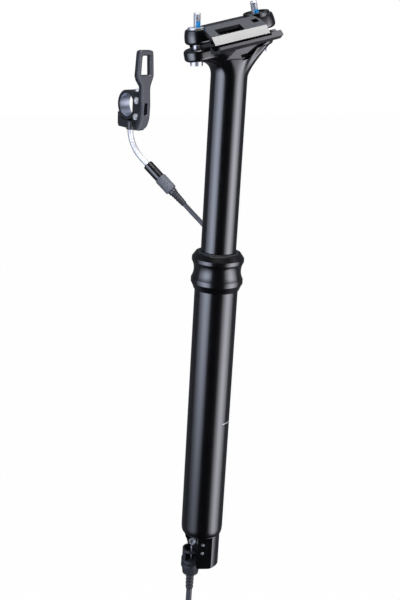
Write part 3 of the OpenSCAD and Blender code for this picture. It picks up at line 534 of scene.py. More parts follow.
def collar_profile():
    """The collar's outline: a spool with a chamfered foot, a hollow waist and a round lip."""
    low_r, top_r, waist_r = OUTER_R + 3.05, OUTER_R + 3.1, OUTER_R + 1.35
    waist_z, waist_round, crown_z, edge = 14.31, 12.825, 23.49, 0.5
    low_turn = math.degrees(math.acos(1 - (low_r - waist_r) / waist_round))
    top_turn = math.degrees(math.acos(1 - (top_r - waist_r) / waist_round))
    thread_r = 15.065
    return [
        (thread_r, 0), (OUTER_R + 0.6, 0), (OUTER_R + 0.8, 0.15), (low_r - edge, 4.36),
        *arc(low_r - edge, 5.11, edge, -40, 0, 4),
        *arc(waist_r + waist_round, waist_z, waist_round, 180 + low_turn, 180 - top_turn, 28),
        *arc(top_r - edge, crown_z - edge, edge, 0, 45, 4),
        *arc(15.65, 26.25, 0.6, 45, 165, 8), (15.03, 25.9), (15.03, 17), (12.9, 17),
        (12.9, 14.3), (thread_r, 14.3)]


# Head and saddle clamp

EAR_BASE, EAR_TOP = -20.4, -12.6
EAR_FRONT, EAR_REAR, EAR_R = -23.7, 21.5, 9.5
EAR_ROUND, NECK_FULL = 2.2, 2.4
BAR_FRONT, BAR_REAR = -21.5, 24.9
WING_ENDS = (-21.35, 18.15)
WING_RIDGE, ROOF_TILT = (8.5, 1), 20.8
RAIL_R, RAIL_Y, RAIL_Z = 3.5, 22, -10
CRADLE_SIDE, CRADLE_SLOPE_Z = 26.6, -12.6
CRADLE_SEAT_R = 14.8
BOLT_HOLE_R, BOLT_SEAT_R, BOLT_WAY_R, NUT_SOCKET_R = 2.8, 4.55, 4, 6.6
BOLT_R, THREAD_BOTTOM, THREAD_TOP = 2.5, -8, 10
NECK_BEND_Z, NECK_LEAN = 157.6, 3.4
# The points round a boss outline, and the degrees of the way round that each half of a round end takes
HEAD_STEPS = 96
END_TURN = 53


class SEATPOST_OT_head(bpy.types.Operator):
    """Forges the seat head, the cradle and the upper clamp"""

    bl_idname = "seatpost.head"
    bl_label = "Head and saddle clamp"

    def execute(self, context):
        edge = settings()[0].forging_edge
        head = forge_head()
        smooth(head, 32)
        finish(head, "forging", "seat_head")
        cradle = forge_cradle(edge * 0.7)
        finish(cradle, "forging", "cradle")
        clamp = forge_clamp()
        ease(clamp, edge * 0.5, 2, 14)
        smooth(clamp, 12)
        finish(clamp, "forging", "upper_clamp")
        return {"FINISHED"}


def forge_cradle(edge):
    """The cradle with the front corners and the lower outer edges of its bars cut off."""
    cradle = copy_solid("cradle", "cradle_forging")
    turn = CLAMP.to_3x3()
    for side in (-1, 1):
        cut_off(cradle, in_clamp(-22, side * 16, 0), turn @ Vector((-0.95, side * 0.31, 0)))
        cut_off(cradle, in_clamp(0, side * CRADLE_SIDE, CRADLE_SLOPE_Z), turn @ Vector((0, side * 0.8, -0.6)))
    ease(cradle, edge, 3)
    smooth(cradle, 30)
    return cradle


def boss_outline(share, front, rear, r):
    """A point round the shared outline of two round bosses. The share runs once round from the rear."""
    turn = share * 360
    side = -1 if turn > 180 else 1
    half = min(turn, 360 - turn)
    if half < END_TURN:
        b = math.radians(half / END_TURN * 90)
        return rear + r * math.cos(b), side * r * math.sin(b)
    if half > 180 - END_TURN:
        b = math.radians(90 + (half - 180 + END_TURN) / END_TURN * 90)
        return front + r * math.cos(b), side * r * math.sin(b)
    return rear + (front - rear) * (half - END_TURN) / (180 - 2 * END_TURN), side * r


def ear_point(i, share, z):
    """A point round the ears at a share of their edge's rounding, which dies out beside the fuller neck."""
    x, y = boss_outline(i / HEAD_STEPS, EAR_FRONT, EAR_REAR, EAR_R)
    out = max(0, min(1, (abs(x) - 8) / 10))
    out = out * out * (3 - 2 * out)
    full = (EAR_TOP - z) / (EAR_TOP - EAR_BASE)
    r = EAR_R - share * EAR_ROUND * out + NECK_FULL * full * (1 - out)
    x, y = boss_outline(i / HEAD_STEPS, EAR_FRONT, EAR_REAR, r)
    return in_clamp(x, y, z)


def boss_ring(front, rear, inset, z):
    """A ring of the clamp's frame round two bosses, drawn in by an inset."""
    outline = [boss_outline(i / HEAD_STEPS, front, rear, EAR_R - inset) for i in range(HEAD_STEPS)]
    return [in_clamp(x, y, z) for x, y in outline]


def forge_head():
    """Draws the stanchion's round out to the two ears, then cuts seat, bolt holes and pockets."""
    rings = []
    for k in range(13):
        t = k / 12
        ring = []
        for i in range(HEAD_STEPS):
            a = math.tau * i / HEAD_STEPS
            low = Vector((STANCHION_R * math.cos(a), STANCHION_R * math.sin(a), HEAD_Z)) * MM
            bend = Vector((low.x, low.y, (NECK_BEND_Z - NECK_LEAN * math.cos(a)) * MM))
            high = ear_point(i, 1, EAR_BASE)
            ring.append(low * (1 - t) ** 2 + bend * 2 * t * (1 - t) + high * t * t)
        rings.append(ring)
    for start, end, level in ((-90, 0, EAR_BASE + EAR_ROUND), (0, 90, EAR_TOP - EAR_ROUND)):
        for k in range(5):
            b = math.radians(start + (end - start) * k / 4)
            if k or start == 0:
                rings.append([ear_point(i, 1 - math.cos(b), level + EAR_ROUND * math.sin(b))
                              for i in range(HEAD_STEPS)])
    head = loft("seat_head_forging", rings)
    carve(head, round_bar("cradle_seat", CRADLE_SEAT_R, 24, CLAMP @ swing(90, "X")))
    for place in (FRONT_BOLT, REAR_BOLT):
        carve(head, round_bar("bolt_hole", BOLT_HOLE_R, 40, place @ at(0, 0, -10)))
        carve(head, round_bar("bolt_seat", BOLT_SEAT_R, 24, place @ at(0, 0, EAR_BASE - 10.8)))
    for side in (-1, 1):
        carve(head, head_flat(side))
        carve(head, head_pocket(side))
    clean_mesh(head, 0.01)
    return head


def head_flat(side):
    """The tool for the upright flat in each flank of the head, in front of its scoop."""
    outline = [(-9.5, -22.6), (1.2, -16.6), (6, -16.6), (6, -25.4)]
    return loft("head_flat", [
        [in_clamp(x, side * y, z) for x, z in outline] for y in (9, 15)])


def head_pocket(side):
    """The tool for the scoop in each flank: deep under the rear ear, run out towards the front."""
    mouth = [(1.6, -21), (2.6, -17.4), (25.5, -17.2), (10.5, -25.6), (2.6, -25)]
    floor = [(3.6, -20.2), (4.2, -18.4), (21.5, -18.2), (9.6, -22.6), (4.2, -22.8)]
    wide = [(x + (x - 8) * 0.35, z + (z + 21) * 0.35) for x, z in mouth]
    levels = ((floor, 5.2), (mouth, 11.4), (wide, 14))
    return loft("head_pocket", [
        [in_clamp(x, side * y, z) for x, z in level] for level, y in levels])


def loft(name, rings):
    """A closed skin over rings of points: a lathe's extruded rings are set to the points."""
    steps = len(rings[0])
    obj = turn_on_lathe(name, [(10, k) for k in range(len(rings))], steps, closed=False)
    for v in obj.data.vertices:
        share = math.atan2(v.co.y, v.co.x) / math.tau
        v.co = rings[round(v.co.z / MM)][round(share * steps) % steps]
    open_up(obj)
    bpy.ops.mesh.fill_holes(sides=0)
    close_up()
    clean_mesh(obj)
    return obj


def round_bar(name, radius, length, place):
    """A bar to cut with, centred on a place and along its z axis."""
    clear_selection()
    bpy.ops.mesh.primitive_cylinder_add(vertices=64, radius=radius * MM, depth=length * MM)
    obj = bpy.context.object
    obj.name = name
    seat(obj, place)
    return obj


def carve(obj, tool, operation="DIFFERENCE"):
    """Cuts a tool's shape out of a piece, or joins it on, and puts the tool away."""
    apply_modifier(obj, "BOOLEAN", operation=operation, solver="EXACT", object=tool)
    bpy.data.objects.remove(tool)


def forge_clamp():
    """Joins a barrel-sided bar and two roofed wings, then cuts the nuts' sockets, rail ways and windows."""
    corner, foot, crown = 2.4, -9.6, 0
    sides = [(foot + corner * (1 + math.sin(b)), corner * (1 - math.cos(b)))
             for b in (math.radians(a) for a in range(-90, 1, 9))]
    sides += [(-5.5, 0.08), (-4, 0.28), (-2.5, 0.62), (-1.2, 1.0), (-0.5, 1.25), (-0.15, 1.5), (crown, 1.9)]
    clamp = loft("upper_clamp_forging", [boss_ring(BAR_FRONT, BAR_REAR, inset, z) for z, inset in sides])
    rise = turn_on_lathe("rear_rise", [
        (AXIS, -1), (8.9, -1), (8.9, 1.3), (8.75, 1.65), (8.4, 1.8), (AXIS, 1.8)])
    seat(rise, CLAMP @ at(BAR_REAR - 2.6, 0, 0))
    carve(clamp, rise, "UNION")
    carve(clamp, roofed_wings(), "UNION")
    for place in (FRONT_BOLT, REAR_BOLT):
        socket = turn_on_lathe("nut_socket", [
            *[(max(x, AXIS), z) for x, z in arc(0, 0, NUT_SOCKET_R, -90, 0, 10)],
            (NUT_SOCKET_R, 8), (AXIS, 8)], 64)
        seat(socket, place)
        carve(clamp, socket)
        carve(clamp, round_bar("bolt_way", BOLT_WAY_R, 30, place @ at(0, 0, -10)))
    for side in (-1, 1):
        carve(clamp, round_bar("rail_way", RAIL_R, 80, CLAMP @ at(0, side * RAIL_Y, RAIL_Z) @ swing(90, "Y")))
        roof = CLAMP @ at(0, side * WING_RIDGE[0], WING_RIDGE[1]) @ swing(-side * ROOF_TILT, "X")
        window = ((-17, 3.2, 5.6, 14.6, 0.8), (-12.3, 2, 7.5, 13.2, -1.7), (-12.3, 2, 7.5, 13.2, -14))
        square = ((11.5, 16.5, 3.2, 9.1, 0.8), (12, 16, 3.7, 8.5, -0.4), (12, 16, 3.7, 8.5, -2.4))
        for name, levels in (("window", window), ("square", square)):
            carve(clamp, loft(name, [
                [roof @ (Vector((x, side * y, h)) * MM) for x, y in ((x0, y0), (x1, y0), (x1, y1), (x0, y1))]
                for x0, x1, y0, y1, h in levels]))
    clean_mesh(clamp, 0.01)
    return clamp


def roofed_wings():
    """The two wings as one bar with a roof, a broad chamfer and a steep side, sloped off at both ends."""
    half = [WING_RIDGE, (22.2, -4.2), (25.39, -6.52), (26.6, -9.2), (17.4, -9.2), (17.4, -5), (8.5, -3)]
    section = half + [(-y, z) for y, z in reversed(half)]
    wings = loft("wings", [[in_clamp(x, y, z) for y, z in section] for x in WING_ENDS])
    for x, way in zip(WING_ENDS, (-1, 1)):
        cut_off(wings, in_clamp(x, 0, -1.4), CLAMP.to_3x3() @ Vector((way * 0.766, 0, 0.643)))
    clean_mesh(wings)
    return wings


def cut_thread(name, radius, pitch, bottom, top):
    """Screws one pitch of a thread's outline up its axis, cuts both ends flat and tapers the tip."""
    depth = 0.55 * pitch
    root = radius - depth
    outline = [(root, 0), (radius, 0.32), (radius, 0.46), (root, 0.78), (root, 1)]
    start = bottom - 1.5 * pitch
    mesh = bpy.data.meshes.new(name)
    mesh.from_pydata([(r * MM, 0, (start + share * pitch) * MM) for r, share in outline],
                     [(i, i + 1) for i in range(len(outline) - 1)], [])
    obj = bpy.data.objects.new(name, mesh)
    bpy.context.scene.collection.objects.link(obj)
    apply_modifier(obj, "SCREW", steps=40, render_steps=40, screw_offset=pitch * MM,
                   iterations=int((top - bottom) / pitch) + 4, use_merge_vertices=True)
    for height, up in ((bottom, -1), (top, 1)):
        cut_off(obj, (0, 0, height * MM), (0, 0, up))
    open_up(obj)
    bpy.ops.mesh.remove_doubles(threshold=0.002 * MM)
    bpy.ops.mesh.fill_holes(sides=0)
    close_up()
    for v in obj.data.vertices:
        room = radius - max(0, v.co.z / MM - top + 0.7)
        far = math.hypot(v.co.x, v.co.y) / MM
        if far > room:
            v.co.x *= room / far
            v.co.y *= room / far
    clean_mesh(obj)
    return obj


class SEATPOST_OT_bolts(bpy.types.Operator):
    """Cuts the clamp bolts' threads and shapes their heads and nuts"""

    bl_idname = "seatpost.bolts"
    bl_label = "Clamp bolts and nuts"

    def execute(self, context):
        pitch = settings()[0].thread_pitch / MM
        for side, place in (("front", FRONT_BOLT), ("rear", REAR_BOLT)):
            bolt = copy_solid(f"{side}_bolt", f"{side}_bolt_head")
            cut_off(bolt, place @ Vector((0, 0, THREAD_BOTTOM * MM)), place.to_3x3() @ Vector((0, 0, 1)))
            ease(bolt, settings()[0].small_edge)
            smooth(bolt, 30)
            finish(bolt, "steel", f"{side}_bolt")
            thread = cut_thread(f"{side}_bolt_thread", BOLT_R, pitch, THREAD_BOTTOM, THREAD_TOP)
            lock_thread(thread)
            seat(thread, place)
            smooth(thread, 30)
            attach(thread, "post")
            eased_solid(f"{side}_nut", f"{side}_nut_body", settings()[0].small_edge, "steel")
        return {"FINISHED"}


PATCH_TURN, PATCH_TOP = (-130, -10), 4.6


def lock_thread(thread):
    """Paints the nylon patch on the front of a thread, just above its nut."""
    thread.data.materials.append(finishes["steel"])
    thread.data.materials.append(finishes["patch"])
    for face in thread.data.polygons:
        turn = math.degrees(math.atan2(face.center.y, face.center.x))
        if PATCH_TURN[0] < turn < PATCH_TURN[1] and face.center.z < PATCH_TOP * MM:
            face.material_index = 1


# Actuator, remote and adjuster


class SEATPOST_OT_actuator(bpy.types.Operator):
    """Shapes the actuator at the tube's foot"""

    bl_idname = "seatpost.actuator"
    bl_label = "Actuator"

    def execute(self, context):
        edge = settings()[0].small_edge
        eased_solid("actuator_housing", "actuator_housing_body", edge * 1.5, "forging")
        eased_solid("actuator_pins", "actuator_pins_body", edge, "steel")
        eased_solid("actuator_lever", "actuator_lever_body", edge * 1.5, "forging")
        eased_solid("cable_barrel", "cable_barrel_body", edge, "noodle")
        eased_solid("cable_stop", "cable_stop_body", edge, "nylon")
        boot = turn_on_lathe("lower_boot_body", ribbed(BOOT_END, BOOT_END + 12, 2.6, 2.85, 4, BOOT_BORE), 48)
        seat(boot, STRAND)
        smooth(boot, 50)
        finish(boot, "rubber", "lower_boot")
        return {"FINISHED"}


BOOT_BORE = 2.3
RIB_SWELL = 0.18


def ribbed(start, end, r0, r1, ribs, bore):
    """A sleeve's profile with rounded ribs, from its thin end to its thick one."""
    outer = []
    for i in range(ribs * 8 + 1):
        share = i / (ribs * 8)
        swell = RIB_SWELL - RIB_SWELL * math.cos(2 * math.pi * share * ribs)
        outer.append((r0 + (r1 - r0) * share + swell, start + (end - start) * share))
    return [(bore, start), *outer, (bore, end)]


class SEATPOST_OT_remote(bpy.types.Operator):
    """Shapes the remote's clamp and thumb lever"""

    bl_idname = "seatpost.remote"
    bl_label = "Remote"

    def execute(self, context):
        sizes = settings()[0]
        band = eased_solid("remote_band", "remote_band_body", 0.5 * MM, "bracket")
        bracket = eased_solid("remote_bracket", "remote_bracket_body", 0.6 * MM, "bracket")
        for obj in (band, bracket):
            bare_the_bore(obj)
        lever = shape_lever(sizes.lever_edge / MM)
        smooth(lever, 24)
        finish(lever, "satin", "remote_lever")
        lug = copy_solid("remote_lever", "thumb_lever_lug")
        cut_off(lug, REMOTE @ Vector((0, (LEVER_BACK - 0.5) * MM, 0)), REMOTE.to_3x3() @ Vector((0, -1, 0)))
        smooth(lug, 30)
        finish(lug, "satin", "remote_lever")
        for node in ("band_bolt", "pivot_bolt", "side_screw"):
            eased_solid(node, f"{node}_body", sizes.small_edge, "noodle")
        eased_solid("cable_nipple", "cable_nipple_body", sizes.small_edge, "oxide")
        return {"FINISHED"}


LEVER_X, LEVER_BACK, LEVER_T = 0.3, -24, 5.5
LEVER_OUTLINE = [
    (-9.53, -21), (-3.18, -21), (2.65, -18), (5.5, -10.1), (5.93, 2.2), (5.29, 11.9), (4.87, 20), (7.2, 26),
    (8.6, 30), (7.2, 51), (6.2, 54), (-8.6, 54), (-9.6, 51), (-11, 30), (-9.6, 26), (-5.29, 20),
    (-5.29, 8.1), (-4.23, 0), (-4.66, -8), (-7.41, -16)]
LEVER_WINDOW = [(-6.4, 31), (4, 31), (3, 49), (-5.4, 49)]


def rounded(points, radius, steps=5):
    """A closed outline with its corners rounded."""
    made = []
    for i, corner in enumerate(points):
        corner = Vector(corner)
        before, after = (Vector(points[(i + way) % len(points)]) - corner for way in (-1, 1))
        start = corner + before.normalized() * min(radius, before.length * 0.46)
        end = corner + after.normalized() * min(radius, after.length * 0.46)
        for k in range(steps + 1):
            t = k / steps
            made.append(start * (1 - t) ** 2 + corner * 2 * t * (1 - t) + end * t * t)
    return made


def drawn_in(points, amount):
    """An outline that runs anticlockwise, moved inwards."""
    made = []
    for i, p in enumerate(points):
        along = (points[(i + 1) % len(points)] - points[i - 1]).normalized()
        made.append(p + Vector((-along.y, along.x)) * amount)
    return made


def slab(name, outline, levels):
    """A slab in the lever's frame: its outline at each depth from the face, drawn in by an inset."""
    face = LEVER_BACK - LEVER_T
    return loft(name, [
        [REMOTE @ (Vector((LEVER_X + p.x, face + depth, p.y)) * MM) for p in drawn_in(outline, inset)]
        for depth, inset in levels])


def shape_lever(edge):
    """The thumb lever's plate: full round edges, a window with a flared rim and a slot."""
    turn = [math.radians(a) for a in range(0, 91, 15)]
    levels = [(edge * (1 - math.sin(b)), edge * (1 - math.cos(b))) for b in reversed(turn)]
    levels += [(LEVER_T - depth, inset) for depth, inset in reversed(levels)]
    lever = slab("thumb_lever_body", rounded(LEVER_OUTLINE, 3.2), levels)
    flare = [(-1, -2.2), (0.2, -1), (0.6, -0.4), (1.2, 0)]
    through = flare + [(LEVER_T - depth, inset) for depth, inset in reversed(flare)]
    carve(lever, slab("window", rounded(LEVER_WINDOW, 1.8), through))
    slot = [(-2.2, -6.6), (2.2, -6.6), (2.2, 4.6), (-2.2, 4.6)]
    carve(lever, slab("slot", rounded(slot, 2.1), [(-1, -1.2), (0.6, 0), (LEVER_T - 1.4, 0)]))
    return lever


BAR_SEAT_R = 11.3


def bare_the_bore(obj):
    """Leaves the bar's seat in bare bored aluminium."""
    obj.data.materials.append(finishes["bore"])
    axis, middle = REMOTE.to_3x3() @ Vector((1, 0, 0)), REMOTE.translation
    for face in obj.data.polygons:
        away = face.center - middle
        away -= axis * away.dot(axis)
        if away.length < BAR_SEAT_R * MM and face.normal.dot(away) < 0 and abs(face.normal.dot(axis)) < 0.2:
            face.material_index = 1


class SEATPOST_OT_adjuster(bpy.types.Operator):
    """Bends the noodle and shapes the barrel adjuster"""

    bl_idname = "seatpost.adjuster"
    bl_label = "Noodle and adjuster"

    def execute(self, context):
        noodle = run_tube("noodle_tube", noodle_route(), NOODLE_R * MM, 6)
        finish(noodle, "noodle", "noodle")
        edge = settings()[0].small_edge
        eased_solid("noodle_ferrule", "noodle_ferrule_body", edge, "forging")
        eased_solid("adjuster_stem", "adjuster_stem_body", edge, "satin")
        eased_solid("adjuster_barrel", "adjuster_barrel_body", edge * 0.5, "adjuster")
        boot = turn_on_lathe("upper_boot_body", ribbed(52.7, 37.7, 2.6, 3.45, 5, BOOT_BORE), 48)
        seat(boot, ADJUSTER)
        smooth(boot, 50)
        finish(boot, "rubber", "upper_boot")
        return {"FINISHED"}


NOODLE_R, NOODLE_BEND = 2.8, 38
NOODLE_TURN, NOODLE_HEADING = 49, -42


def noodle_route():
    """Out of the bracket, round one bend and into the ferrule."""
    top = REMOTE @ Vector((-4.2 * MM, -12 * MM, -20 * MM))
    heading, turn = math.radians(NOODLE_HEADING), math.radians(NOODLE_TURN)
    ahead = Vector((math.cos(heading), math.sin(heading), 0))
    down = Vector((0, 0, -1))
    bend = NOODLE_BEND * MM
    route = [top - down * 3 * MM]
    for i in range(25):
        a = turn * i / 24
        route.append(top + ahead * bend * (1 - math.cos(a)) + down * bend * math.sin(a))
    end = ahead * math.sin(turn) + down * math.cos(turn)
    return [*route, route[-1] + end * 8 * MM, route[-1] + end * 13.5 * MM]


class SEATPOST_OT_inner_parts(bpy.types.Operator):
    """Finishes the parts inside the tubes"""

    bl_idname = "seatpost.inner_parts"
    bl_label = "Inner parts"

    def execute(self, context):
        wearing = {
            "bush": ("upper_bush", "lower_bush"),
            "brass": ("guide_keys", "rod_piston"),
            "steel": ("gas_cylinder", "cartridge_nut", "valve_pin", "grub_screw"),
            "noodle": ("gas_rod", "inner_wire"),
            "forging": ("cylinder_gland",),
            "rubber": ("collar_o_ring", "top_out_bumper", "piston_ring"),
        }
        for finish_name, nodes in wearing.items():
            for node in nodes:
                mesh = frame["nodes"][node].data
                mesh.materials.clear()
                mesh.materials.append(finishes[finish_name])
        return {"FINISHED"}


# Stage

CAMERA_AT = (-0.3221, -0.69635, 0.22508)
VIEW_YAW, VIEW_PITCH, VIEW_ROLL = 24, 17, 3.249
FOCAL_PIXELS, IMAGE_HEIGHT = 1121.27, 600
FLOOR_Z = -0.75
FLOOR_WHITE, WORLD_LIGHT = 0.985, 0.3
CARD_R, CARD_FOOT, CARD_TOP = 0.72, -0.74, 1.4
CARD_GLOW, CARD_TOP_GLOW = 0.12, 1.1
CARD_DIM, CARD_BRIGHT = 0.3, 0.85
TOP_LAMP_Z, TOP_LAMP_SIZE, TOP_LAMP_RADIANCE = 0.95, 0.55, 11
BOX_AWAY, BOX_LOW, BOX_HIGH = 0.6, -0.62, 0.5
# Each softbox's level across and upwards: shares of the way, with shares of its full level
LEFT_ACROSS = (
    (0, 0), (0.08, 0.11), (0.24, 0.68), (0.4, 1), (0.5, 0.84), (0.64, 0.46), (0.81, 0.24), (1, 0.14))
RIGHT_ACROSS = (
    (0, 0.06), (0.07, 0.13), (0.295, 0.48), (0.46, 0.93), (0.53, 1), (0.605, 0.89), (0.753, 0.39),
    (0.917, 0.12), (1, 0.02))
LEFT_UPWARD = (
    (0, 0.2), (0.138, 0.27), (0.218, 0.43), (0.262, 0.52), (0.31, 0.7), (0.378, 0.8), (0.445, 0.94),
    (0.64, 1), (0.72, 0.6), (0.85, 0.35), (1, 0.15))
RIGHT_UPWARD = (
    (0, 0.65), (0.138, 0.73), (0.262, 0.85), (0.378, 0.85), (0.445, 0.9), (0.64, 1), (0.72, 0.6),
    (0.85, 0.35), (1, 0.15))


def white_to_the_eye(tree, light, share):
    """Mixes a shader with plain white for the rays that the eye, metal and glass send."""
    path = add_node(tree, "ShaderNodeLightPath").outputs
    seen = add_node(tree, "ShaderNodeMath", {
        0: path["Is Camera Ray"], 1: path["Is Glossy Ray"]}, operation="MAXIMUM")
    through = add_node(tree, "ShaderNodeMath", {
        0: seen.outputs[0], 1: path["Is Transmission Ray"]}, operation="MAXIMUM")
    part = add_node(tree, "ShaderNodeMath", {0: through.outputs[0], 1: share}, operation="MULTIPLY")
    kind = "ShaderNodeEmission" if share < 1 else "ShaderNodeBackground"
    white = add_node(tree, kind, {"Color": (1, 1, 1, 1), "Strength": 1.0})
    return add_node(tree, "ShaderNodeMixShader", {
        0: part.outputs[0], 1: light, 2: white.outputs[0]}).outputs[0]


class SEATPOST_OT_stage(bpy.types.Operator):
    """Sets up the camera, the floor, the lamps and the black cards"""

    bl_idname = "seatpost.stage"
    bl_label = "Stage"

    def execute(self, context):
        context.scene.view_settings.view_transform = "Standard"
        set_camera(context)
        set_world(context)
        set_floor()
        set_cards()
        hang_softbox("left_softbox", -60, 1.08, 5.4, "#e0e8ff", LEFT_ACROSS, LEFT_UPWARD)
        hang_softbox("right_softbox", 70, 1.0, 6.0, "#f4f4ff", RIGHT_ACROSS, RIGHT_UPWARD)
        hang_top_lamp()
        return {"FINISHED"}


def set_camera(context):
    """Puts the camera at the photograph's viewing angle."""
    yaw, pitch, roll = (math.radians(a) for a in (VIEW_YAW, VIEW_PITCH, VIEW_ROLL))
    side = Vector((math.cos(yaw), -math.sin(yaw), 0))
    ahead = Vector((math.sin(yaw), math.cos(yaw), 0))
    up = Vector((0, 0, 1))
    forward = ahead * math.cos(pitch) - up * math.sin(pitch)
    top = ahead * math.sin(pitch) + up * math.cos(pitch)
    right = side * math.cos(roll) + top * math.sin(roll)
    head = top * math.cos(roll) - side * math.sin(roll)
    turn = Matrix((right, head, -forward)).transposed()
    bpy.ops.object.camera_add(location=CAMERA_AT, rotation=turn.to_euler())
    camera = context.object
    camera.data.lens = FOCAL_PIXELS * camera.data.sensor_width / IMAGE_HEIGHT
    camera.data.clip_start = 0.01
    context.scene.camera = camera


def set_world(context):
    """Plain soft light from all round, white to the eye."""
    world = bpy.data.worlds.new("studio")
    context.scene.world = world
    world.use_nodes = True
    tree = world.node_tree
    tree.nodes.clear()
    soft = add_node(tree, "ShaderNodeBackground", {"Color": (1, 1, 1, 1), "Strength": WORLD_LIGHT})
    add_node(tree, "ShaderNodeOutputWorld", {"Surface": white_to_the_eye(tree, soft.outputs[0], 1)})


def set_floor():
    """A plain pale floor well below the object."""
    clear_selection()
    bpy.ops.mesh.primitive_plane_add(size=12, location=(0, 0, FLOOR_Z))
    floor = bpy.context.object
    floor.name = "floor"
    mat, tree, shader, place = blank_material("pale_floor")
    grained(tree, shader, place, linear("#e4e4e6"), 1.05, 0.8, 4, 0.05)
    output = next(n for n in tree.nodes if n.type == "OUTPUT_MATERIAL")
    tree.links.new(white_to_the_eye(tree, shader.outputs["BSDF"], FLOOR_WHITE), output.inputs["Surface"])
    floor.data.materials.append(mat)


def set_cards():
    """Black cards round the object, with a glow behind it, which only its reflections see."""
    clear_selection()
    bpy.ops.mesh.primitive_cylinder_add(
        vertices=48, radius=CARD_R, depth=CARD_TOP - CARD_FOOT, end_fill_type="NGON",
        location=(0, 0, (CARD_TOP + CARD_FOOT) / 2))
    cards = bpy.context.object
    bpy.ops.object.mode_set(mode="EDIT")
    bpy.ops.mesh.select_all(action="DESELECT")
    close_up()
    for face in cards.data.polygons:
        face.select = face.normal.z > 0.5
    bpy.ops.object.mode_set(mode="EDIT")
    bpy.ops.mesh.delete(type="FACE")
    close_up()
    cards.name = "black_cards"
    cards.visible_camera = cards.visible_diffuse = cards.visible_shadow = False
    cards.visible_transmission = cards.visible_volume_scatter = False
    mat, tree, shader, place = blank_material("black_felt")
    grained(tree, shader, place, linear("#040404"), 1.2, 0.95, 3, 0.1)
    shader.inputs["Specular IOR Level"].default_value = 0
    yaw = math.radians(VIEW_YAW)
    depth = add_node(tree, "ShaderNodeVectorMath", {
        0: place, 1: (math.sin(yaw), math.cos(yaw), 0)}, operation="DOT_PRODUCT")
    height = add_node(tree, "ShaderNodeSeparateXYZ", {"Vector": place})
    level = add_node(tree, "ShaderNodeMapRange", {
        "Value": height.outputs["Z"], "From Min": CARD_DIM, "From Max": CARD_BRIGHT,
        "To Min": CARD_GLOW, "To Max": CARD_TOP_GLOW})
    behind = add_node(tree, "ShaderNodeMapRange", {
        "Value": depth.outputs["Value"], "From Min": -0.1, "From Max": 0.2,
        "To Max": level.outputs["Result"]})
    shader.inputs["Emission Color"].default_value = (*linear("#e6ecff"), 1)
    tree.links.new(behind.outputs["Result"], shader.inputs["Emission Strength"])
    cards.data.materials.append(mat)


def hang_softbox(name, turn, width, radiance, colour, across, upward):
    """A tall softbox at a turn from the camera. Its level follows one curve across and another upwards."""
    clear_selection()
    a = math.radians(turn)
    spot = LAY @ Vector((math.sin(a) * BOX_AWAY, -math.cos(a) * BOX_AWAY, (BOX_LOW + BOX_HIGH) / 2))
    facing = Vector((-spot.x, -spot.y, 0))
    turned = facing.to_track_quat("Z", "Y").to_euler()
    bpy.ops.mesh.primitive_plane_add(size=1, location=spot, rotation=turned)
    box = bpy.context.object
    box.name = name
    box.scale = (width, BOX_HIGH - BOX_LOW, 1)
    box.visible_camera = box.visible_shadow = False
    mat = bpy.data.materials.new(name)
    mat.use_nodes = True
    tree = mat.node_tree
    tree.nodes.clear()
    parts = add_node(tree, "ShaderNodeSeparateXYZ", {
        "Vector": add_node(tree, "ShaderNodeTexCoord").outputs["UV"]})
    level = add_node(tree, "ShaderNodeMath", operation="MULTIPLY")
    for i, (axis, curve) in enumerate((("X", across), ("Y", upward))):
        ramp = add_node(tree, "ShaderNodeValToRGB", {"Fac": parts.outputs[axis]})
        for place, share in curve[1:-1]:
            ramp.color_ramp.elements.new(place)
        for stop, (place, share) in zip(ramp.color_ramp.elements, curve):
            stop.position = place
            stop.color = (share, share, share, 1)
        tree.links.new(ramp.outputs["Color"], level.inputs[i])
    strength = add_node(tree, "ShaderNodeMath", {0: level.outputs[0], 1: radiance}, operation="MULTIPLY")
    glow = add_node(tree, "ShaderNodeEmission", {
        "Color": (*linear(colour), 1), "Strength": strength.outputs[0]})
    add_node(tree, "ShaderNodeOutputMaterial", {"Surface": glow.outputs[0]})
    box.data.materials.append(mat)


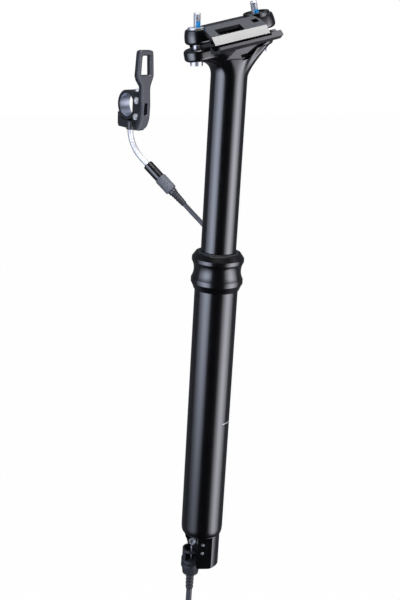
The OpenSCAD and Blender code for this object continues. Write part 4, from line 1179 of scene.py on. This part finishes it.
def hang_top_lamp():
    """A softbox straight over the head, which lights the clamp's chamfers and the collar's crown."""
    clear_selection()
    bpy.ops.object.light_add(type="AREA", location=(0, 0, TOP_LAMP_Z))
    lamp = bpy.context.object
    lamp.name = "top_softbox"
    lamp.data.shape = "SQUARE"
    lamp.data.size = TOP_LAMP_SIZE
    lamp.data.energy = TOP_LAMP_RADIANCE * math.pi * TOP_LAMP_SIZE ** 2


class SEATPOST_PT_panel(bpy.types.Panel):
    """Lists the seatpost's operators and settings"""

    bl_idname = "SEATPOST_PT_panel"
    bl_label = "Seatpost"
    bl_space_type = "VIEW_3D"
    bl_region_type = "UI"
    bl_category = "Seatpost"

    def draw(self, context):
        for group in settings():
            for name in group.__annotations__:
                self.layout.prop(group, name)
        for operator in OPERATORS:
            self.layout.operator(operator.bl_idname)


OPERATORS = (
    SEATPOST_OT_stage, SEATPOST_OT_cable, SEATPOST_OT_tubes, SEATPOST_OT_head, SEATPOST_OT_bolts,
    SEATPOST_OT_actuator, SEATPOST_OT_remote, SEATPOST_OT_adjuster, SEATPOST_OT_inner_parts)
CLASSES = (SeatpostSizes, SeatpostColours, *OPERATORS, SEATPOST_PT_panel)


def register():
    """Registers the classes and the scene's settings."""
    for made in CLASSES:
        bpy.utils.register_class(made)
    bpy.types.Scene.seatpost_sizes = bpy.props.PointerProperty(type=SeatpostSizes)
    bpy.types.Scene.seatpost_colours = bpy.props.PointerProperty(type=SeatpostColours)


def unregister():
    """Takes back what register did."""
    del bpy.types.Scene.seatpost_colours
    del bpy.types.Scene.seatpost_sizes
    for made in reversed(CLASSES):
        bpy.utils.unregister_class(made)


def main():
    """Makes every piece in order."""
    register()
    make_finishes()
    bpy.ops.seatpost.stage()
    bpy.ops.seatpost.cable()
    bpy.ops.seatpost.tubes()
    bpy.ops.seatpost.head()
    bpy.ops.seatpost.bolts()
    bpy.ops.seatpost.actuator()
    bpy.ops.seatpost.remote()
    bpy.ops.seatpost.adjuster()
    bpy.ops.seatpost.inner_parts()


if __name__ == "__main__":
    main()
